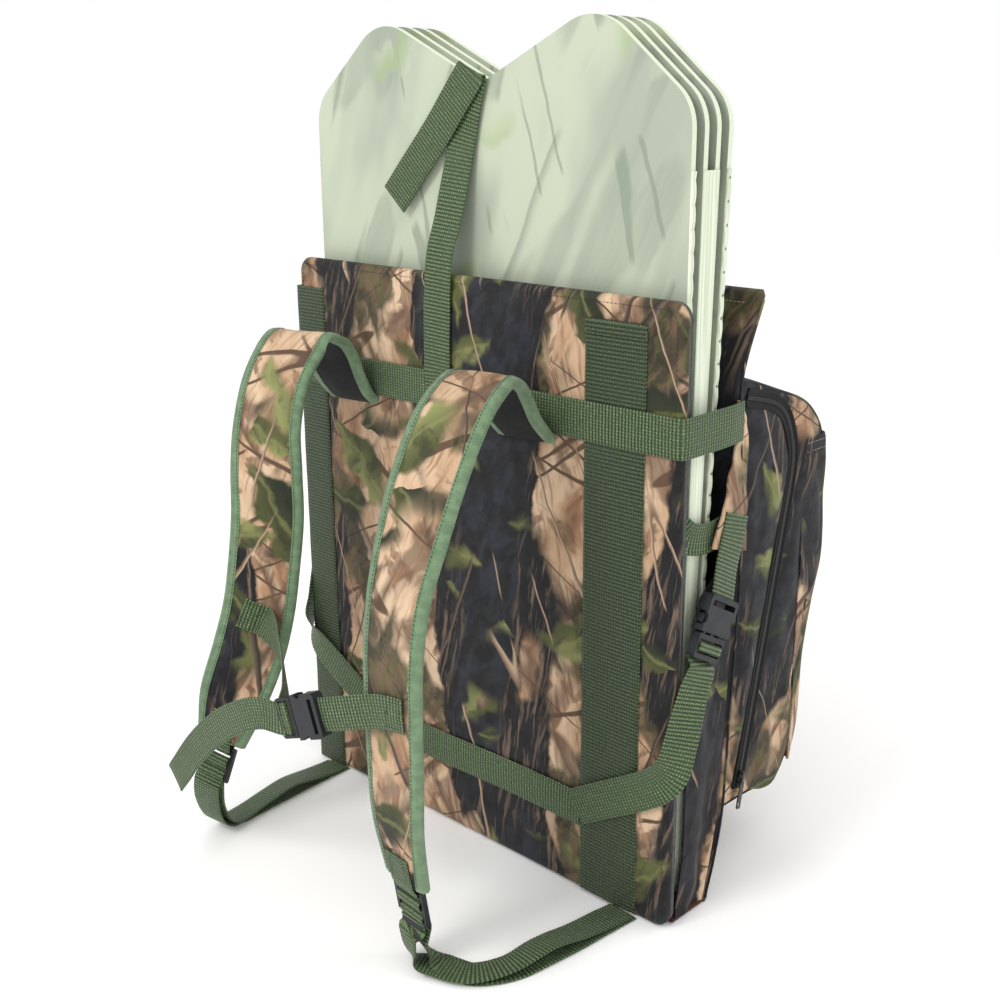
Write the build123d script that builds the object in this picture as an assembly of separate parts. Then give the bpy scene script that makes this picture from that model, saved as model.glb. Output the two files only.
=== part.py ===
from build123d import *
import math
import os

# Pack frame for a folded panel blind, with its folded blind, in millimetres.
# +X is the wearer's right as seen from the harness side, -Y is the harness side, +Z is up.
# The origin is on the flat underside of the sleeve base, which the pack stands on.

# ---------------------------------------------------------------- driving dimensions
WEB_MAIN = 38.0        # cross straps, side straps and retaining strap
WEB_SLIM = 32.0        # sternum strap and lower shoulder webs
WEB_THICK = 1.6
CROSS_HEIGHT = 492.0   # lower edge of the upper cross strap
LOWER_CROSS = 76.0     # lower edge of the lower cross strap
LOWER_HALF = 158.0     # half the width over which the lower cross strap is sewn down
STRIP_RIGHT = (161.0, 233.0, 609.0)    # inner edge, outer edge and top of the right vertical strip
STRIP_LEFT = (-229.0, 600.0)           # inner edge and top of the left one, which wraps round the panel
FABRIC = 2.0           # cloth with its coating and seam allowance

PANEL_HALF = 274.0     # half width of the back panel
PANEL_TOP = 633.0
PANEL_CORNER = 18.0
PANEL_FRONT = -50.0    # harness-side face of the back panel
PANEL_REAR = -34.5     # face that the blind leans on
PANEL_SKIN = 1.5

REAR_HALF = 270.0      # half width of the rear panel of the sleeve
REAR_THICK = 9.0
REAR_PATH = [(22, 0), (22, 10), (33, 44), (45, 100), (50, 200), (58, 378), (47, 500), (46, 555), (78, 631)]
BASE_THICK = 5.0

BAG_HALF = 243.0       # outer half width of the bag
BAG_WALL = 2.0
BAG_TOP_PATH = [(54, 552), (91, 541), (199, 504), (240, 465), (244, 446)]
BAG_REAR_PATH = [(245, 443), (246, 414), (246, 327), (219, 210), (220, 161), (210, 98)]
BAG_BOTTOM_PATH = [(208, 94), (184, 62), (139, 73), (44, 74)]
POCKET_PATH = [(249, 459), (255, 414), (255, 327), (228, 210), (229, 161), (218, 92), (209, 85)]
POCKET_HALF = 247.0

DOOR_CORNERS = [(93, 84), (93, 522), (158, 508), (187, 440), (109, 84)]
DOOR_RADIUS = 40.0     # upper rear corners of the side doors
DOOR_GAP = 0.8
ZIP_TAPE = 12.0        # width of one zipper tape outside the coil
ZIP_TRAVEL_START = 100.0

BOARD_HALF = 256.0     # the folded blind is 20 in wide
BOARD_THICK = 6.4
BOARD_PITCH = 7.5
BOARD_FAN = 0.8        # degrees that each board leans back from the one before it
BOARD_FRONT = -25.0
BOARD_BOTTOM = BASE_THICK + 0.5
BOARD_CORNERS = [(BOARD_HALF, 799), (148, 886), (0, 818), (-148, 886), (-BOARD_HALF, 799)]
BOARD_RADII = [45, 60, 28, 60, 45]
EDGE_SPAN = (30, 745)  # heights between which the boards are hinged or laced

STRAP_THICK = 10.0
BINDING_WIDTH = 10.0
# centre of each padded strap from its root over the crest to its lower end,
# with the turn of its face about the vertical in degrees and its half width
STRAP_RIGHT = [
    (88, -64, 494, 2, 38), (90, -80, 510, 3, 38), (92, -95, 532, 4, 38.5), (96, -113, 549, 7, 39),
    (105, -140, 554, 11, 39), (121, -188, 531, 17, 39),
    (130, -228, 480, 14, 39), (130, -248, 433, 8, 39), (130, -265, 385, 0, 39), (130, -274, 334, -2, 39),
    (130, -276, 278, -3, 39), (130, -276, 220, -4, 39), (130, -275, 160, -4, 36), (129, -264, 98, -4, 30),
]
STRAP_LEFT = [
    (-176, -64, 494, 4, 38), (-176.5, -76, 514, 8, 38), (-177, -88, 538, 13, 38.5), (-177, -104, 554, 20, 39),
    (-176, -130, 558, 28, 39), (-172, -163, 523, 24, 39),
    (-168, -182, 476, 26, 39), (-166, -188, 428, 35, 39), (-165, -191, 377, 39, 39), (-165, -199, 326, 38, 39),
    (-166, -209, 276, 39, 39), (-170, -224, 227, 42, 39), (-178, -242, 178, 38, 37), (-186, -255, 132, 24, 30),
]
ANCHOR_THICK = 8.0     # folded ends of the padded straps, sewn on below the upper cross strap
ANCHOR_TALL = 10.0
ANCHOR_CENTRES = (87.0, -176.0)

# ---------------------------------------------------------------- helpers


def unit(v):
    return Vector(*v).normalized()


def prism_x(outline, x0, x1):
    """Solid with a closed (y, z) outline between two x planes."""
    face = make_face(Polyline(*outline, close=True))
    return extrude(Plane(origin=(x0, 0, 0), x_dir=(0, 1, 0), z_dir=(1, 0, 0)) * face, amount=x1 - x0)


def prism_z(outline, z0, z1):
    """Solid with a closed (x, y) outline between two z planes."""
    face = make_face(Polyline(*outline, close=True))
    return extrude(Plane(origin=(0, 0, z0)) * face, amount=z1 - z0)


def block(x, y, z):
    """Box from three (low, high) pairs."""
    size = (x[1] - x[0], y[1] - y[0], z[1] - z[0])
    centre = ((x[0] + x[1]) / 2, (y[0] + y[1]) / 2, (z[0] + z[1]) / 2)
    return Pos(*centre) * Box(*size)


def offset_path(path, distance):
    """Open 2-D path moved sideways; positive goes to the right of its direction."""
    moved = []
    for i, (a, b) in enumerate(path):
        before = path[max(i - 1, 0)]
        after = path[min(i + 1, len(path) - 1)]
        d_in = unit((a - before[0], b - before[1], 0)) if i else unit((after[0] - a, after[1] - b, 0))
        d_out = unit((after[0] - a, after[1] - b, 0)) if i < len(path) - 1 else d_in
        normal = Vector((d_in.Y + d_out.Y) / 2, -(d_in.X + d_out.X) / 2, 0)
        scale = distance / (normal.length ** 2)
        moved.append((a + normal.X * scale, b + normal.Y * scale))
    return moved


def band(path, low, high):
    """Closed outline of the strip between two sideways offsets of an open path."""
    return offset_path(path, low) + offset_path(path, high)[::-1]


def height_on(path, z):
    """The first coordinate where an upward path crosses height z."""
    for (a, b), (c, d) in zip(path, path[1:]):
        if b <= z <= d:
            return a + (c - a) * (z - b) / (d - b)
    raise ValueError(f"no crossing at {z}")


def rounded_panel(half, z_low, z_high, radius, y_front, y_rear):
    """Upright rounded rectangle between two y planes."""
    plane = Plane(origin=(0, y_rear, (z_low + z_high) / 2), x_dir=(1, 0, 0), z_dir=(0, -1, 0))
    return extrude(plane * RectangleRounded(2 * half, z_high - z_low, radius), amount=y_rear - y_front)


def ribbon(stations, low, high, thin, thick):
    """Ruled solid through rectangles at (point, across direction, half width) stations.

    low and high give the two sides of the ribbon from its half width,
    thin and thick are its two faces along the outward normal.
    """
    points = [Vector(*s[0]) for s in stations]
    wires = []
    for i, (_, direction, half) in enumerate(stations):
        tangent = (points[min(i + 1, len(points) - 1)] - points[max(i - 1, 0)]).normalized()
        across = unit(direction)
        normal = tangent.cross(across).normalized()
        rectangle = [(low(half), thin), (high(half), thin), (high(half), thick), (low(half), thick)]
        corners = [points[i] + across * u + normal * t for u, t in rectangle]
        wires.append(Wire.make_polygon(corners, close=True))
    return Solid.make_loft(wires, ruled=True)


def web(route, width):
    """Flat webbing through (point, across direction) stations."""
    stations = [(point, direction, width / 2) for point, direction in route]
    return ribbon(stations, lambda half: -half, lambda half: half, -WEB_THICK / 2, WEB_THICK / 2)


def mirrored(shape):
    return mirror(shape, about=Plane.YZ)


nodes = {}


def add(name, *shapes):
    """Register the solids of one node."""
    solids = [solid for shape in shapes for solid in shape.solids()]
    nodes[name] = solids[0] if len(solids) == 1 else Compound(solids)


# ---------------------------------------------------------------- back panel


def back_panel():
    """Padded board against the wearer's back: printed cover, foam, stiffener and lining."""
    outline = (PANEL_HALF, 0, PANEL_TOP, PANEL_CORNER)
    inner_half = PANEL_HALF - PANEL_SKIN
    inner = (inner_half, PANEL_SKIN, PANEL_TOP - PANEL_SKIN, PANEL_CORNER - PANEL_SKIN)
    cover = rounded_panel(*outline, PANEL_FRONT, PANEL_REAR)
    front_edges = cover.edges().group_by(Axis.Y)[0]
    cover = fillet(front_edges, radius=4)
    add("back_panel_cover", cover - rounded_panel(*inner, PANEL_FRONT + 4.2, PANEL_REAR))
    add("back_panel_foam", rounded_panel(*inner, PANEL_FRONT + 4.2, PANEL_REAR - 4))
    add("back_panel_stiffener", rounded_panel(*inner, PANEL_REAR - 4, PANEL_REAR - FABRIC))
    add("back_panel_lining", rounded_panel(*inner, PANEL_REAR - FABRIC, PANEL_REAR))


def panel_webbing():
    """Two wide vertical strips and the two straps that cross the panel."""
    front = PANEL_FRONT - WEB_THICK
    inner, outer, top = STRIP_RIGHT
    add("web_strip_right", block((inner, outer), (front, PANEL_FRONT), (2, top)))
    side = -PANEL_HALF - WEB_THICK / 2
    middle = PANEL_FRONT - WEB_THICK / 2
    inner, top = STRIP_LEFT
    wrap = [(inner, middle), (side, middle), (side, PANEL_REAR - 3.5)]
    add("web_strip_left", prism_z(band(wrap, -WEB_THICK / 2, WEB_THICK / 2), 2, top))

    flat = front - WEB_THICK / 2
    path = [(274, 46), (277.5, 20), (277.5, flat), (-277.5, flat), (-277.5, 20), (-274, 46)]
    cross_low = CROSS_HEIGHT
    add("upper_cross_strap", prism_z(band(path, -WEB_THICK / 2, WEB_THICK / 2), cross_low, cross_low + WEB_MAIN))
    lower = block((-LOWER_HALF, LOWER_HALF), (front - WEB_THICK, front), (LOWER_CROSS, LOWER_CROSS + WEB_MAIN))
    add("lower_cross_strap", lower)
    depth = (PANEL_FRONT - ANCHOR_THICK, PANEL_FRONT)
    height = (cross_low - ANCHOR_TALL - 0.2, cross_low - 0.2)
    anchors = [block((c - WEB_MAIN, c + WEB_MAIN), depth, height) for c in ANCHOR_CENTRES]
    add("strap_anchors", *anchors)


# ---------------------------------------------------------------- sleeve for the folded blind


def sleeve():
    """Base, rear panel and side gussets that hold the folded blind behind the back panel."""
    half = REAR_THICK / 2
    rear_foot = REAR_PATH[0][0] - half
    add("sleeve_base", block((-REAR_HALF, REAR_HALF), (PANEL_REAR, rear_foot), (0, BASE_THICK)))

    outer = band(REAR_PATH, -half, half)
    core_path = REAR_PATH[:-1] + [(76.6, 628)]
    pocket = band([(22, -5)] + core_path[1:], -half + FABRIC, half - FABRIC)
    add("rear_panel_cover", prism_x(outer, -REAR_HALF, REAR_HALF) - prism_x(pocket, -REAR_HALF, REAR_HALF))
    foam = band([(22, 0.5)] + core_path[1:-1] + [(76.2, 627)], -half + FABRIC + 0.1, half - FABRIC - 0.1)
    add("rear_panel_foam", prism_x(foam, -REAR_HALF + FABRIC, REAR_HALF - FABRIC))

    inner_face = offset_path(REAR_PATH, -half - 1.4)
    rear_edge = [(height_on(inner_face, z), z) for z in (BASE_THICK + 0.3, 44, 100, 200, 300, 368)]
    front_edge = [(-4, 345), (-26, 200), (-28, BASE_THICK + 0.3)]
    gusset = prism_x(rear_edge + front_edge, REAR_HALF - FABRIC, REAR_HALF)
    add("side_gussets", gusset, mirrored(gusset))

    tab_outline = [(44, 529), (53, 529), (58, 450), (65, 374), (9, 393), (40, 489)]
    tab = prism_x(tab_outline, REAR_HALF + 0.3, REAR_HALF + 0.3 + FABRIC)
    add("wing_tabs", tab, mirrored(tab))
    loop = block((263.5, 263.5 + WEB_THICK), (PANEL_REAR + 0.2, 47), (410, 440))
    add("side_loops", loop, mirrored(loop))


# ---------------------------------------------------------------- bag


def door_outline(grow):
    """Face of the side opening in its own (y, z) plane, larger by grow all round."""
    face = make_face(Polyline(*DOOR_CORNERS, close=True))
    corners = face.vertices()
    rounded = [v for v in corners if v.Y > 430 and v.X > 150]
    face = fillet(rounded, DOOR_RADIUS)
    return offset(face, amount=grow, kind=Kind.INTERSECTION) if grow else face


def on_side(face, x0, x1):
    return extrude(Plane(origin=(x0, 0, 0), x_dir=(0, 1, 0), z_dir=(1, 0, 0)) * face, amount=x1 - x0)


def bag():
    """Soft bag behind the rear panel, with a D-shaped zipped door in each side."""
    rear_face = offset_path(REAR_PATH, REAR_THICK / 2 + 0.5)
    front_edge = [(height_on(rear_face, z), z) for z in (76, 100, 200, 378, 500, 549)]
    side_outline = front_edge + [(91, 539), (198, 502), (239, 463), (243, 446)]
    side_outline += [(244, 414), (244, 327), (217, 210), (218, 161), (208, 96), (184, 64), (139, 75)]
    side = prism_x(side_outline, BAG_HALF - BAG_WALL, BAG_HALF)
    side -= on_side(door_outline(DOOR_GAP), BAG_HALF - BAG_WALL - 1, BAG_HALF + 1)
    add("bag_side_right", side)
    add("bag_side_left", mirrored(side))

    for name, path in (("bag_top", BAG_TOP_PATH), ("bag_rear", BAG_REAR_PATH), ("bag_bottom", BAG_BOTTOM_PATH)):
        outline = band(path, 0, BAG_WALL)
        shell = prism_x(outline, -BAG_HALF + BAG_WALL + 0.2, BAG_HALF - BAG_WALL - 0.2)
        add(name, shell - bag_side_clearance())

    wall = prism_x(band(POCKET_PATH, 0, BAG_WALL), -POCKET_HALF, POCKET_HALF)
    inside = offset_path(POCKET_PATH, BAG_WALL / 2)
    cheek_outline = [(204, 453)] + inside + [(202, 88)]
    cheek = prism_x(cheek_outline, POCKET_HALF - BAG_WALL, POCKET_HALF)
    add("outer_pocket", wall + cheek + mirrored(cheek))


def bag_side_clearance():
    """Space kept free for the rear panel in front of the bag's walls."""
    return prism_x(band(REAR_PATH, -REAR_THICK, REAR_THICK / 2 + 0.3), -BAG_HALF, BAG_HALF)


def side_doors():
    """Doors hinged on their front edge, with the two halves of the zipper round them."""
    door = on_side(door_outline(0), BAG_HALF - BAG_WALL, BAG_HALF)
    keep = block((0, 300), (DOOR_CORNERS[0][0] + 3, 300), (60, 560))
    inner_tape = on_side(door_outline(-1.5) - door_outline(-ZIP_TAPE), BAG_HALF, BAG_HALF + 1.2) & keep
    outer_tape = on_side(door_outline(ZIP_TAPE - 3) - door_outline(DOOR_GAP + 1), BAG_HALF, BAG_HALF + 1.2)
    outer_tape &= block((0, 300), (DOOR_CORNERS[0][0] + 3, 197), (60, 560))
    for side, flip in (("right", False), ("left", True)):
        leaf = mirrored(door) if flip else door
        tape = mirrored(inner_tape) if flip else inner_tape
        add(f"side_door_{side}", leaf, tape)
    add("zip_tapes", outer_tape, mirrored(outer_tape))


def zip_frame():
    """Plane of the zipper's straight run: x across the coil, y up the run, z outward."""
    low = Vector(BAG_HALF + 1.2, DOOR_CORNERS[4][0], DOOR_CORNERS[4][1])
    high = Vector(BAG_HALF + 1.2, DOOR_CORNERS[3][0], DOOR_CORNERS[3][1])
    up = (high - low).normalized()
    start = low + up * (ZIP_TRAVEL_START - 84)
    out = Vector(1, 0, 0)
    return Plane(origin=start, x_dir=up.cross(out), z_dir=out)


def zippers():
    """Slider and hanging pull tab on each side door."""
    frame = zip_frame()
    body = Pos(0, 0, 2.1) * Box(9, 14, 3.8)
    body = fillet(body.edges().filter_by(Axis.Z), 2.5)
    bridge = Pos(0, 1, 5.2) * Box(3, 10, 2.4) - Pos(0, 1, 4.6) * Box(4, 5, 1.6)
    slider = frame * (body + bridge)
    tab = Pos(0, -19.9, 5.9) * Box(7, 30, 1.2) - Pos(0, -30, 5.9) * Cylinder(2, 3)
    pull = frame * fillet(tab.edges().filter_by(Axis.Z).group_by(Axis.Y)[0], 2)
    for side, flip in (("right", False), ("left", True)):
        add(f"zip_slider_{side}", mirrored(slider) if flip else slider)
        add(f"pull_tab_{side}", mirrored(pull) if flip else pull)


# ---------------------------------------------------------------- buckles


def squared_plane(origin, along, outward):
    """Plane with its x axis along one direction and its z axis as near as possible to another."""
    x_dir = unit(along)
    rough = unit(outward)
    return Plane(origin=origin, x_dir=x_dir, z_dir=(rough - x_dir * rough.dot(x_dir)).normalized())


def local(plane, x, y, z):
    return tuple(plane.origin + plane.x_dir * x + plane.y_dir * y + plane.z_dir * z)


def buckle_half(width):
    return width / 2 + 6


def buckle_socket(width):
    """Female half of a side-release buckle; the plug comes in along +X."""
    half = buckle_half(width)
    body = Pos(18.5, 0, 0) * Box(37, 2 * half, 12)
    body = fillet(body.edges().filter_by(Axis.Z).group_by(Axis.X)[-1], 5)
    body = chamfer(body.edges().filter_by(Axis.Y).group_by(Axis.X)[0], 1.2)
    body -= Pos(11, 0, 0) * Box(24, 2 * half - 6, 7.2)
    body -= Pos(12.5, 0, 0) * Box(13, 2 * half + 2, 7.2)
    for side in (-1, 1):
        body -= Pos(12.5, side * (half + 1.5), 0) * Cylinder(5, 14)
    body -= Pos(29, 0, 0) * Box(5.5, width + 2, 14)
    return body


def buckle_plug(width):
    """Male half with its ladder bars and guide tongue, without the two prongs."""
    half = buckle_half(width) - 2
    body = Pos(-14, 0, 0) * Box(24, 2 * half, 9)
    body = fillet(body.edges().filter_by(Axis.Z).group_by(Axis.X)[0], 4)
    for u in (-9.5, -18.5):
        body -= Pos(u, 0, 0) * Box(5, width + 2, 12)
    return body + Pos(8.5, 0, 0) * Box(22, 7, 5)


def buckle_prong(width, side):
    """One spring arm of the plug, on the +Y (1) or -Y (-1) side."""
    half = buckle_half(width)
    outline = [(-1.6, half - 12.5), (-1.6, half - 8.5), (5, half - 7), (7, half - 3.6), (8, half - 1)]
    outline += [(16.5, half - 2.6), (19.2, half - 6), (19.2, half - 9.5), (5, half - 11)]
    arm = prism_z([(u, side * v) for u, v in outline], -2.8, 2.8)
    return arm


def side_buckle_plane():
    return Plane(origin=(282, -5.8, 312.7), x_dir=(0, 0.469, 0.883), z_dir=(1, 0, 0))


def sternum_plane():
    return squared_plane((20, -300, 243), (0.937, 0.053, 0.347), (0.05, -1, 0.02))


def side_compression():
    """Webbing, sockets, plugs and prongs that pull each side of the sleeve together."""
    plane = side_buckle_plane()
    socket = plane * buckle_socket(WEB_MAIN)
    plug = plane * buckle_plug(WEB_MAIN)
    add("side_buckle_sockets", socket, mirrored(socket))
    add("side_buckle_plugs", plug, mirrored(plug))
    for place, side in (("front", 1), ("rear", -1)):
        prong = plane * buckle_prong(WEB_MAIN, side)
        add(f"side_prong_{place}_right", prong)
        add(f"side_prong_{place}_left", mirrored(prong))

    flat = (0, 0.883, -0.469)
    upper = web([((273.3, 44, 416), flat), ((273.3, 36, 394), flat), ((276.5, 25, 370), flat),
                 (local(plane, 38.5, 0, 0), flat)], WEB_MAIN)
    add("side_webs_upper", upper, mirrored(upper))
    lower = web([(local(plane, -27.5, 0, 0), flat), ((281.8, -22, 275), (0.1, 0.88, -0.46)),
                 ((282, -32, 248), (0.25, 0.87, -0.42)), ((281.5, -43, 218), (0.4, 0.8, -0.45)),
                 ((280, -54.5, 190), (0.45, 0.62, -0.64)), ((264, -58.5, 165), (0.5, 0.15, -0.85)),
                 ((232, -56.5, 143), (0.5, 0, -0.86)), ((196, -56.5, 122), (0.5, 0, -0.86)),
                 ((160, -56.5, 100), (0.5, 0, -0.86))], WEB_MAIN)
    add("side_webs_lower", lower, mirrored(lower))


# ---------------------------------------------------------------- shoulder harness


def turned(stations):
    """Strap stations as (point, across direction, half width)."""
    return [((x, y, z), (math.cos(math.radians(yaw)), math.sin(math.radians(yaw)), 0), half)
            for x, y, z, yaw, half in stations]


def lock_plane(stations):
    """Plane of a ladder lock: x across, y up the strap, z outward, origin on the upper bar."""
    (last, across, _) = turned(stations)[-1]
    before = Vector(*stations[-2][:3])
    down = (Vector(*last) - before).normalized()
    side = unit(across)
    side = (side - down * side.dot(down)).normalized()
    return Plane(origin=Vector(*last) + down * 11, x_dir=side, z_dir=down.cross(side))


def ladder_lock(width):
    """Ladder lock with a round upper bar, two thread bars and a lip to lift."""
    rail = Pos(0, -15.5, 0) * Box(4.5, 41, 5.2)
    rail = fillet(rail.edges().filter_by(Axis.X), 2.2)
    offset_x = width / 2 + 3.6
    body = Pos(offset_x, 0, 0) * rail + Pos(-offset_x, 0, 0) * rail
    body += Rot(0, 90, 0) * Cylinder(2.4, 2 * offset_x)
    for y in (-14, -29):
        body += Pos(0, y, 0) * Box(2 * offset_x, 4.5, 4)
    lip = Pos(0, -37.5, 2.2) * Rot(-18, 0, 0) * Box(width - 2, 13, 2.6)
    return body + lip


def shoulder_straps():
    """Padded straps in layers, their ladder locks and the loops that hold the locks."""
    half_thick = STRAP_THICK / 2
    skin = 1.5
    loops = []
    for side, stations in (("right", STRAP_RIGHT), ("left", STRAP_LEFT)):
        path = turned(stations)
        inner = (lambda half: BINDING_WIDTH - half, lambda half: half - BINDING_WIDTH)
        add(f"shoulder_strap_cover_{side}", ribbon(path, *inner, half_thick - skin, half_thick))
        add(f"shoulder_strap_foam_{side}", ribbon(path, *inner, -half_thick, half_thick - skin))
        left_edge = (lambda half: -half, lambda half: BINDING_WIDTH - half)
        right_edge = (lambda half: half - BINDING_WIDTH, lambda half: half)
        add(f"shoulder_strap_binding_{side}",
            ribbon(path, *left_edge, -half_thick, half_thick),
            ribbon(path, *right_edge, -half_thick, half_thick))
        plane = lock_plane(stations)
        add(f"ladder_lock_{side}", plane * ladder_lock(WEB_SLIM))
        turn = [(34, 8.2), (8, 6.6), (2.6, 3.8), (-2, 3.6), (-4.2, 0), (-2, -3.6), (2.6, -3.8), (8, -6.4), (26, -7.4)]
        profile = band(turn, -WEB_THICK / 2, WEB_THICK / 2)
        across = Plane(origin=plane.origin - plane.x_dir * (WEB_SLIM / 2), x_dir=plane.y_dir, z_dir=plane.x_dir)
        loops.append(extrude(across * make_face(Polyline(*profile, close=True)), amount=WEB_SLIM))
    add("lock_loops", *loops)


def lower_webs():
    """Webs from the ladder locks down to the floor and back to the foot of the back panel."""
    right = lock_plane(STRAP_RIGHT)
    left = lock_plane(STRAP_LEFT)
    right_route = [(local(right, 0, -12, -3.7), right.x_dir),
                   (local(right, 0, -42, -4), right.x_dir),
                   ((132, -248, 22), (0.95, -0.3, 0)), ((146, -243, 8), (0.8, -0.6, 0)),
                   ((166, -238, 2.6), (0.6, -0.8, 0)), ((188, -228, 1.3), (0.65, -0.76, 0)),
                   ((204, -200, 1.2), (0.9, -0.43, 0)), ((213, -150, 1.2), (1, -0.15, 0)),
                   ((218, -100, 1.2), (1, -0.1, 0)), ((222, -51.5, 1.2), (1, 0, 0))]
    left_route = [(local(left, 0, -12, -3.7), left.x_dir),
                  (local(left, 0, -42, -4), left.x_dir),
                  ((-208, -258, 44), (0.95, 0.3, 0)), ((-217, -242, 17), (0.98, 0.15, 0)),
                  ((-223, -222, 4), (1, 0.05, 0)), ((-227, -200, 1.3), (1, 0, 0)),
                  ((-231, -160, 1.2), (1, 0, 0)), ((-235, -110, 1.2), (1, 0, 0)),
                  ((-238, -51.5, 1.2), (1, 0, 0))]
    add("lower_webs", web(right_route, WEB_SLIM), web(left_route, WEB_SLIM))


def sternum_strap():
    """Side-release buckle between the shoulder straps with its two webs."""
    plane = sternum_plane()
    add("sternum_socket", plane * buckle_socket(WEB_SLIM))
    add("sternum_plug", plane * buckle_plug(WEB_SLIM))
    add("sternum_prong_upper", plane * buckle_prong(WEB_SLIM, 1))
    add("sternum_prong_lower", plane * buckle_prong(WEB_SLIM, -1))
    up = plane.y_dir
    add("sternum_web_right", web([((152, -284, 281), (-0.15, 0, 1)), ((112, -286, 274), (-0.2, 0, 1)),
                                  ((86, -293, 266), (-0.3, 0, 1)),
                                  (local(plane, 37.6, 0, 0), up)], WEB_SLIM))
    anchored = web([((-173.7, -223.8, 284), (-0.1, 0, 1)), ((-148.6, -204.5, 286), (0, 0, 1)),
                    ((-124, -216, 284), (-0.1, 0.1, 1)), ((-86, -262, 268), (-0.3, 0.2, 0.9)),
                    ((-50, -290, 244), (-0.3, 0.1, 0.9)),
                    (local(plane, -26.6, 0, 0), up)], WEB_SLIM)
    tail = web([(local(plane, -27, 0, -3), up), ((-40, -309, 229), (-0.45, 0, 0.9)),
                ((-96, -311, 198), (-0.55, 0, 0.85)), ((-139, -313, 161), (-0.65, 0, 0.75)),
                ((-190, -314, 104), (-0.75, 0, 0.66))], WEB_SLIM)
    add("sternum_web_left", anchored, tail)


# ---------------------------------------------------------------- folded blind


def board_blank():
    """Outline of one panel of the blind in its own (x, z) plane, with rounded corners."""
    points = [(-BOARD_HALF, BOARD_BOTTOM), (BOARD_HALF, BOARD_BOTTOM)] + BOARD_CORNERS
    face = make_face(Polyline(*points, close=True))
    for (x, z), radius in zip(BOARD_CORNERS, BOARD_RADII):
        corner = face.vertices().sort_by_distance((x, z, 0))[0]
        face = fillet(corner, radius)
    lower = [v for v in face.vertices() if v.Y < BOARD_BOTTOM + 1]
    return fillet(lower, 25)


def board_front(k):
    return BOARD_FRONT + BOARD_PITCH * k


def leaned(shape, k):
    """Lean a board of the stack back about its lower front edge."""
    pivot = Pos(0, board_front(k), BOARD_BOTTOM)
    return pivot * Rot(-BOARD_FAN * k, 0, 0) * pivot.inverse() * shape


def edge_block(x, first, last, inset):
    """Strip along the upright edges of the boards from first to last, which fan apart upwards."""
    corners = []
    for z in EDGE_SPAN:
        front = board_front(first) + math.tan(math.radians(BOARD_FAN * first)) * (z - BOARD_BOTTOM)
        rear = board_front(last) + math.tan(math.radians(BOARD_FAN * last)) * (z - BOARD_BOTTOM) + BOARD_THICK
        corners.append((front + inset, rear - inset, z))
    (front_low, rear_low, low), (front_high, rear_high, high) = corners
    return prism_x([(front_low, low), (rear_low, low), (rear_high, high), (front_high, high)], *x)


def folded_blind():
    """Four hinged panels folded flat, with their hinge strips and laced edges."""
    blank = board_blank()
    for k in range(4):
        plane = Plane(origin=(0, board_front(k) + BOARD_THICK, 0), x_dir=(1, 0, 0), z_dir=(0, -1, 0))
        add(f"blind_panel_{k + 1}", leaned(extrude(plane * blank, amount=BOARD_THICK), k))
    gap = 0.3
    strips = []
    for k, side in ((0, -1), (1, 1), (2, -1)):
        x = sorted((side * (BOARD_HALF + gap), side * (BOARD_HALF + gap + 2)))
        strips.append(edge_block(x, k, k + 1, 0.6))
    add("hinge_strips", *strips)
    laces = [edge_block((BOARD_HALF + gap, BOARD_HALF + gap + 3), k, k, 0) for k in (0, 3)]
    add("laced_edges", *laces)


def retaining_strap():
    """Strap sewn behind the upper cross strap, up the front of the blind and folded at the notch."""
    rise = web([((-40, -54.6, 542), (1, 0, -0.06)), ((-35, -54.4, 640), (1, 0, -0.06)),
                ((-31, -41, 692), (1, 0, -0.08)), ((-25, -29.6, 755), (1, 0, -0.12)),
                ((-15, -29, 800), (1, 0, -0.2)), ((-7, -29, 828), (1, 0, -0.35))], WEB_MAIN)
    fall = web([((-3, -31.5, 828), (0.72, 0, -0.69)), ((-58, -32.5, 770), (0.72, 0, -0.69)),
                ((-122, -33.5, 702), (0.72, 0, -0.69))], WEB_MAIN)
    fold = block((-16, 4), (-32.2, -28.4), (820, 831))
    add("retaining_strap", rise + fold + fall)


# ---------------------------------------------------------------- write every node

back_panel()
panel_webbing()
sleeve()
bag()
side_doors()
zippers()
side_compression()
shoulder_straps()
lower_webs()
sternum_strap()
folded_blind()
retaining_strap()

os.makedirs("parts", exist_ok=True)
for name, shape in nodes.items():
    export_step(shape, f"parts/{name}.step")
print(len(nodes), "nodes")
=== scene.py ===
import math
import bmesh
import bpy
import numpy as np
from mathutils import Matrix, Vector


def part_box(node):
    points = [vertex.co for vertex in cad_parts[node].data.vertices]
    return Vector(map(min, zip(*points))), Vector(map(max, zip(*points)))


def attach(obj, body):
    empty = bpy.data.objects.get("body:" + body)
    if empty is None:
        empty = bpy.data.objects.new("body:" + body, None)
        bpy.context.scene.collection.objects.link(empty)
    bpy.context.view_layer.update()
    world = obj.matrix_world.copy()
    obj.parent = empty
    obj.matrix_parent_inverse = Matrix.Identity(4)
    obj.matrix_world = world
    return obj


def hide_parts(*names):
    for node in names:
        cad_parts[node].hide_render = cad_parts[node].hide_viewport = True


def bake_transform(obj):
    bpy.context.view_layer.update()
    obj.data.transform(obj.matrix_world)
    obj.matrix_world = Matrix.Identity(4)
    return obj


# The looks of the pack frame and its folded blind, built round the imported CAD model.
# Lengths are in millimetres in the lists and helpers below, and metres in the meshes.

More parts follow.
